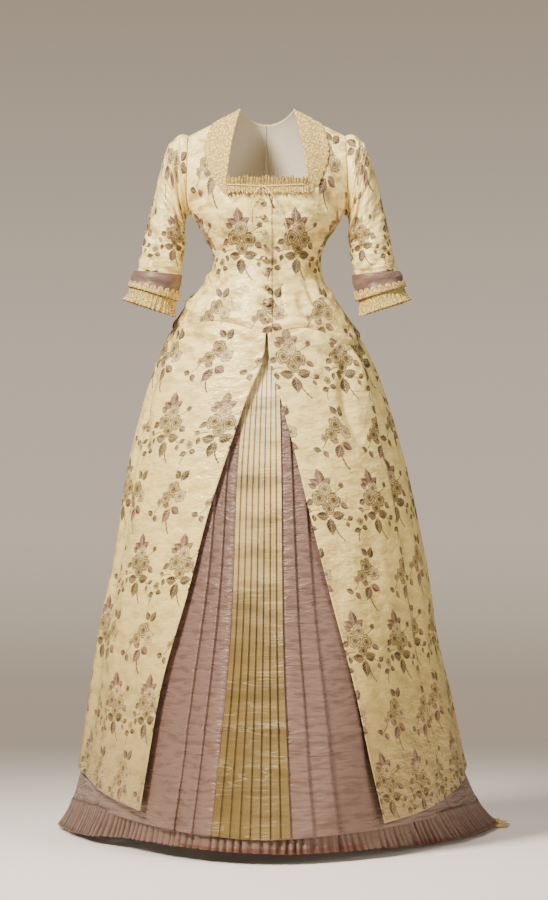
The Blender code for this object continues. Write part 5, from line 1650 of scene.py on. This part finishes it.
def stitched(name, lines, pitch, stitch, thread, crosswise=False):
    """Stitches laid along or across lines at a pitch, made by a tree of geometry nodes."""
    vertices, edges = [], []
    for line in lines:
        first = len(vertices)
        vertices += line.tolist()
        edges += [(first + i, first + i + 1) for i in range(len(line) - 1)]
    mesh = bpy.data.meshes.new(name)
    mesh.from_pydata(vertices, edges, [])
    made = bpy.data.objects.new(name, mesh)
    bpy.context.scene.collection.objects.link(made)
    tree = bpy.data.node_groups.new(name + "_nodes", "GeometryNodeTree")
    sockets = [
        tree.interface.new_socket(word, in_out="INPUT", socket_type="NodeSocket" + kind)
        for word, kind in (("Seam line", "Geometry"), ("Stitch pitch", "Float"),
                           ("Stitch", "Object"), ("Thread", "Material"))
    ]
    tree.interface.new_socket("Stitches", in_out="OUTPUT", socket_type="NodeSocketGeometry")
    start = tree.nodes.new("NodeGroupInput")
    curve = tree.nodes.new("GeometryNodeMeshToCurve")
    spaced = tree.nodes.new("GeometryNodeCurveToPoints")
    spaced.mode = "LENGTH"
    one = tree.nodes.new("GeometryNodeObjectInfo")
    along = tree.nodes.new("FunctionNodeAlignEulerToVector")
    along.axis = "Y" if crosswise else "X"
    placed = tree.nodes.new("GeometryNodeInstanceOnPoints")
    real = tree.nodes.new("GeometryNodeRealizeInstances")
    dyed = tree.nodes.new("GeometryNodeSetMaterial")
    end = tree.nodes.new("NodeGroupOutput")
    tree.links.new(start.outputs[0], curve.inputs[0])
    tree.links.new(curve.outputs[0], spaced.inputs["Curve"])
    tree.links.new(start.outputs[1], spaced.inputs["Length"])
    tree.links.new(start.outputs[2], one.inputs[0])
    tree.links.new(spaced.outputs["Tangent"], along.inputs["Vector"])
    tree.links.new(spaced.outputs["Points"], placed.inputs["Points"])
    tree.links.new(one.outputs["Geometry"], placed.inputs["Instance"])
    tree.links.new(along.outputs[0], placed.inputs["Rotation"])
    tree.links.new(placed.outputs[0], real.inputs[0])
    tree.links.new(real.outputs[0], dyed.inputs[0])
    tree.links.new(start.outputs[3], dyed.inputs["Material"])
    tree.links.new(dyed.outputs[0], end.inputs[0])
    sewing = made.modifiers.new("sewing", "NODES")
    sewing.node_group = tree
    for socket, value in zip(sockets[1:], (pitch, stitch, thread), strict=True):
        sewing[socket.identifier] = value
    bpy.context.view_layer.update()
    sewn = made.evaluated_get(bpy.context.evaluated_depsgraph_get())
    result = bpy.data.meshes.new_from_object(sewn)
    made.modifiers.remove(sewing)
    made.data = result
    result.name = name
    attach(made, "root")
    return made


def silk_thread(name, light, dark):
    made, tree, shader, _ = new_cloth(name, 0.45, 0.2)
    place = tree.nodes.new("ShaderNodeTexCoord").outputs["Object"]
    colour = blended(tree, noise(tree, place, 700.0, 1.0), dark, light)
    tree.links.new(colour, shader.inputs["Base Color"])
    return made


BUTTONHOLE_SILK = silk_thread("buttonhole_silk", (0.66, 0.54, 0.33, 1), (0.38, 0.28, 0.16, 1))
SEWING_SILK = silk_thread("sewing_silk", (0.70, 0.60, 0.40, 1), (0.46, 0.36, 0.20, 1))
purl = thread_stitch("purl_stitch", 0.0018, 0.00026)
run_stitch = thread_stitch("run_stitch", 0.0022, 0.00022)
turn = np.linspace(0, 2 * np.pi, 49)
loops = []
for button in BUTTONS:
    x = button.x - HOLE_AWAY - HOLE_LONG / 2 + HOLE_LONG / 2 * np.cos(turn)
    drop = button.drop + 0.0002 + HOLE_WIDE / 2 * np.sin(turn)
    low = button.drop > UNDERARM
    loops.append((on_front if low else chest_point)(x, drop, STITCH_LIFT + 0 * x))
stitched("buttonhole_stitches", loops, 0.0006, purl, BUTTONHOLE_SILK, crosswise=True)

# The facing of the overskirt's slanting edges is caught down with a row of small stitches,
# and so is the right front's edge beside the buttons.
seam_lines = []
for side, word in ((RIGHT, "right"), (LEFT, "left")):
    drop = np.linspace(0.47, 1.36, 220)
    x = side * (read(OPENING, word, drop) + 0.0055)
    seam_lines.append(on_skirt(angle_of(SKIRT_RINGS, x, drop), drop, 0.0009))
drop = np.linspace(0.185, 0.412, 80)
seam_lines.append(on_front(0 * drop + LAP_X - 0.0030, drop, 0.0003))
stitched("edge_stitches", seam_lines, 0.0055, run_stitch, SEWING_SILK)

# The room: a pale floor, grey-beige air behind it, and soft lamps.
FLOOR_HEIGHT = -1.4525
FLOOR_REACH = 3.5
FADE_FROM, FADE_TO = 1.2, 3.4


def studio_paper():
    """Pale paper that fades out into the room all round."""
    made = bpy.data.materials.new("studio_paper")
    made.use_nodes = True
    tree = made.node_tree
    shader = tree.nodes["Principled BSDF"]
    shader.inputs["Base Color"].default_value = (0.90, 0.81, 0.71, 1)
    shader.inputs["Roughness"].default_value = 0.9
    shader.inputs["Specular IOR Level"].default_value = 0.1
    place = tree.nodes.new("ShaderNodeTexCoord").outputs["Object"]
    far = joined(tree, "ShaderNodeVectorMath", place, operation="LENGTH").node.outputs["Value"]
    shown = joined(tree, "ShaderNodeMapRange", far, FADE_FROM, FADE_TO, 1.0, 0.0,
                   interpolation_type="SMOOTHSTEP")
    tree.links.new(shown, shader.inputs["Alpha"])
    return made


floor_mesh = bpy.data.meshes.new("studio_floor")
ends = ((-1, -1), (1, -1), (1, 1), (-1, 1))
corners = [(x * FLOOR_REACH, y * FLOOR_REACH, FLOOR_HEIGHT) for x, y in ends]
floor_mesh.from_pydata(corners, [], [(0, 1, 2, 3)])
floor = bpy.data.objects.new("studio_floor", floor_mesh)
floor_mesh.materials.append(studio_paper())
bpy.context.scene.collection.objects.link(floor)

# The air of the room is a grey-beige with painted light, palest just above the floor and darker
# above and below, and lights the scene only faintly: most of the light comes from the lamps.
world = bpy.data.worlds.new("studio_air")
world.use_nodes = True
tree = world.node_tree
faint = tree.nodes["Background"]
faint.inputs["Color"].default_value = (0.66, 0.60, 0.52, 1)
faint.inputs["Strength"].default_value = 0.15
heading = tree.nodes.new("ShaderNodeTexCoord").outputs["Generated"]
high = joined(tree, "ShaderNodeSeparateXYZ", heading).node.outputs[2]
high = span(tree, high, -0.12, 0.12)
air = ramped(tree, high, (0.421, 0.333, 0.252, 1), (0.397, 0.316, 0.235, 1),
             (0.25, (0.451, 0.363, 0.274, 1)),
             (0.32, (0.561, 0.462, 0.358, 1)), (0.40, (0.647, 0.538, 0.431, 1)),
             (0.61, (0.604, 0.503, 0.398, 1)), (0.82, (0.488, 0.398, 0.308, 1)))
seen = tree.nodes.new("ShaderNodeBackground")
tree.links.new(air, seen.inputs["Color"])
looked_at = tree.nodes.new("ShaderNodeLightPath").outputs["Is Camera Ray"]
both = tree.nodes.new("ShaderNodeMixShader")
for socket, link in zip(both.inputs, (looked_at, faint.outputs[0], seen.outputs[0]), strict=True):
    tree.links.new(link, socket)
tree.links.new(both.outputs[0], tree.nodes["World Output"].inputs["Surface"])
bpy.context.scene.world = world

Lamp = namedtuple("Lamp", "name x y z wide tall power warmth")
LAMPS = [
    Lamp("key", -2.2, -2.9, 2.1, 0.9, 1.1, 500.0, 0.95),
    Lamp("fill", 2.6, -3.8, 0.3, 1.4, 2.0, 95.0, 0.96),
    Lamp("top", 0.1, -0.4, 2.4, 2.0, 1.4, 90.0, 0.96),
]
for lamp in LAMPS:
    light = bpy.data.lights.new(lamp.name, "AREA")
    light.shape = "RECTANGLE"
    light.size = lamp.wide
    light.size_y = lamp.tall
    light.energy = lamp.power
    light.color = (1.0, lamp.warmth, lamp.warmth**2)
    placed = bpy.data.objects.new(lamp.name, light)
    placed.location = (lamp.x, lamp.y, lamp.z)
    aim = Vector((0, 0, -0.7)) - placed.location
    placed.rotation_euler = aim.to_track_quat("-Z", "Y").to_euler()
    bpy.context.scene.collection.objects.link(placed)
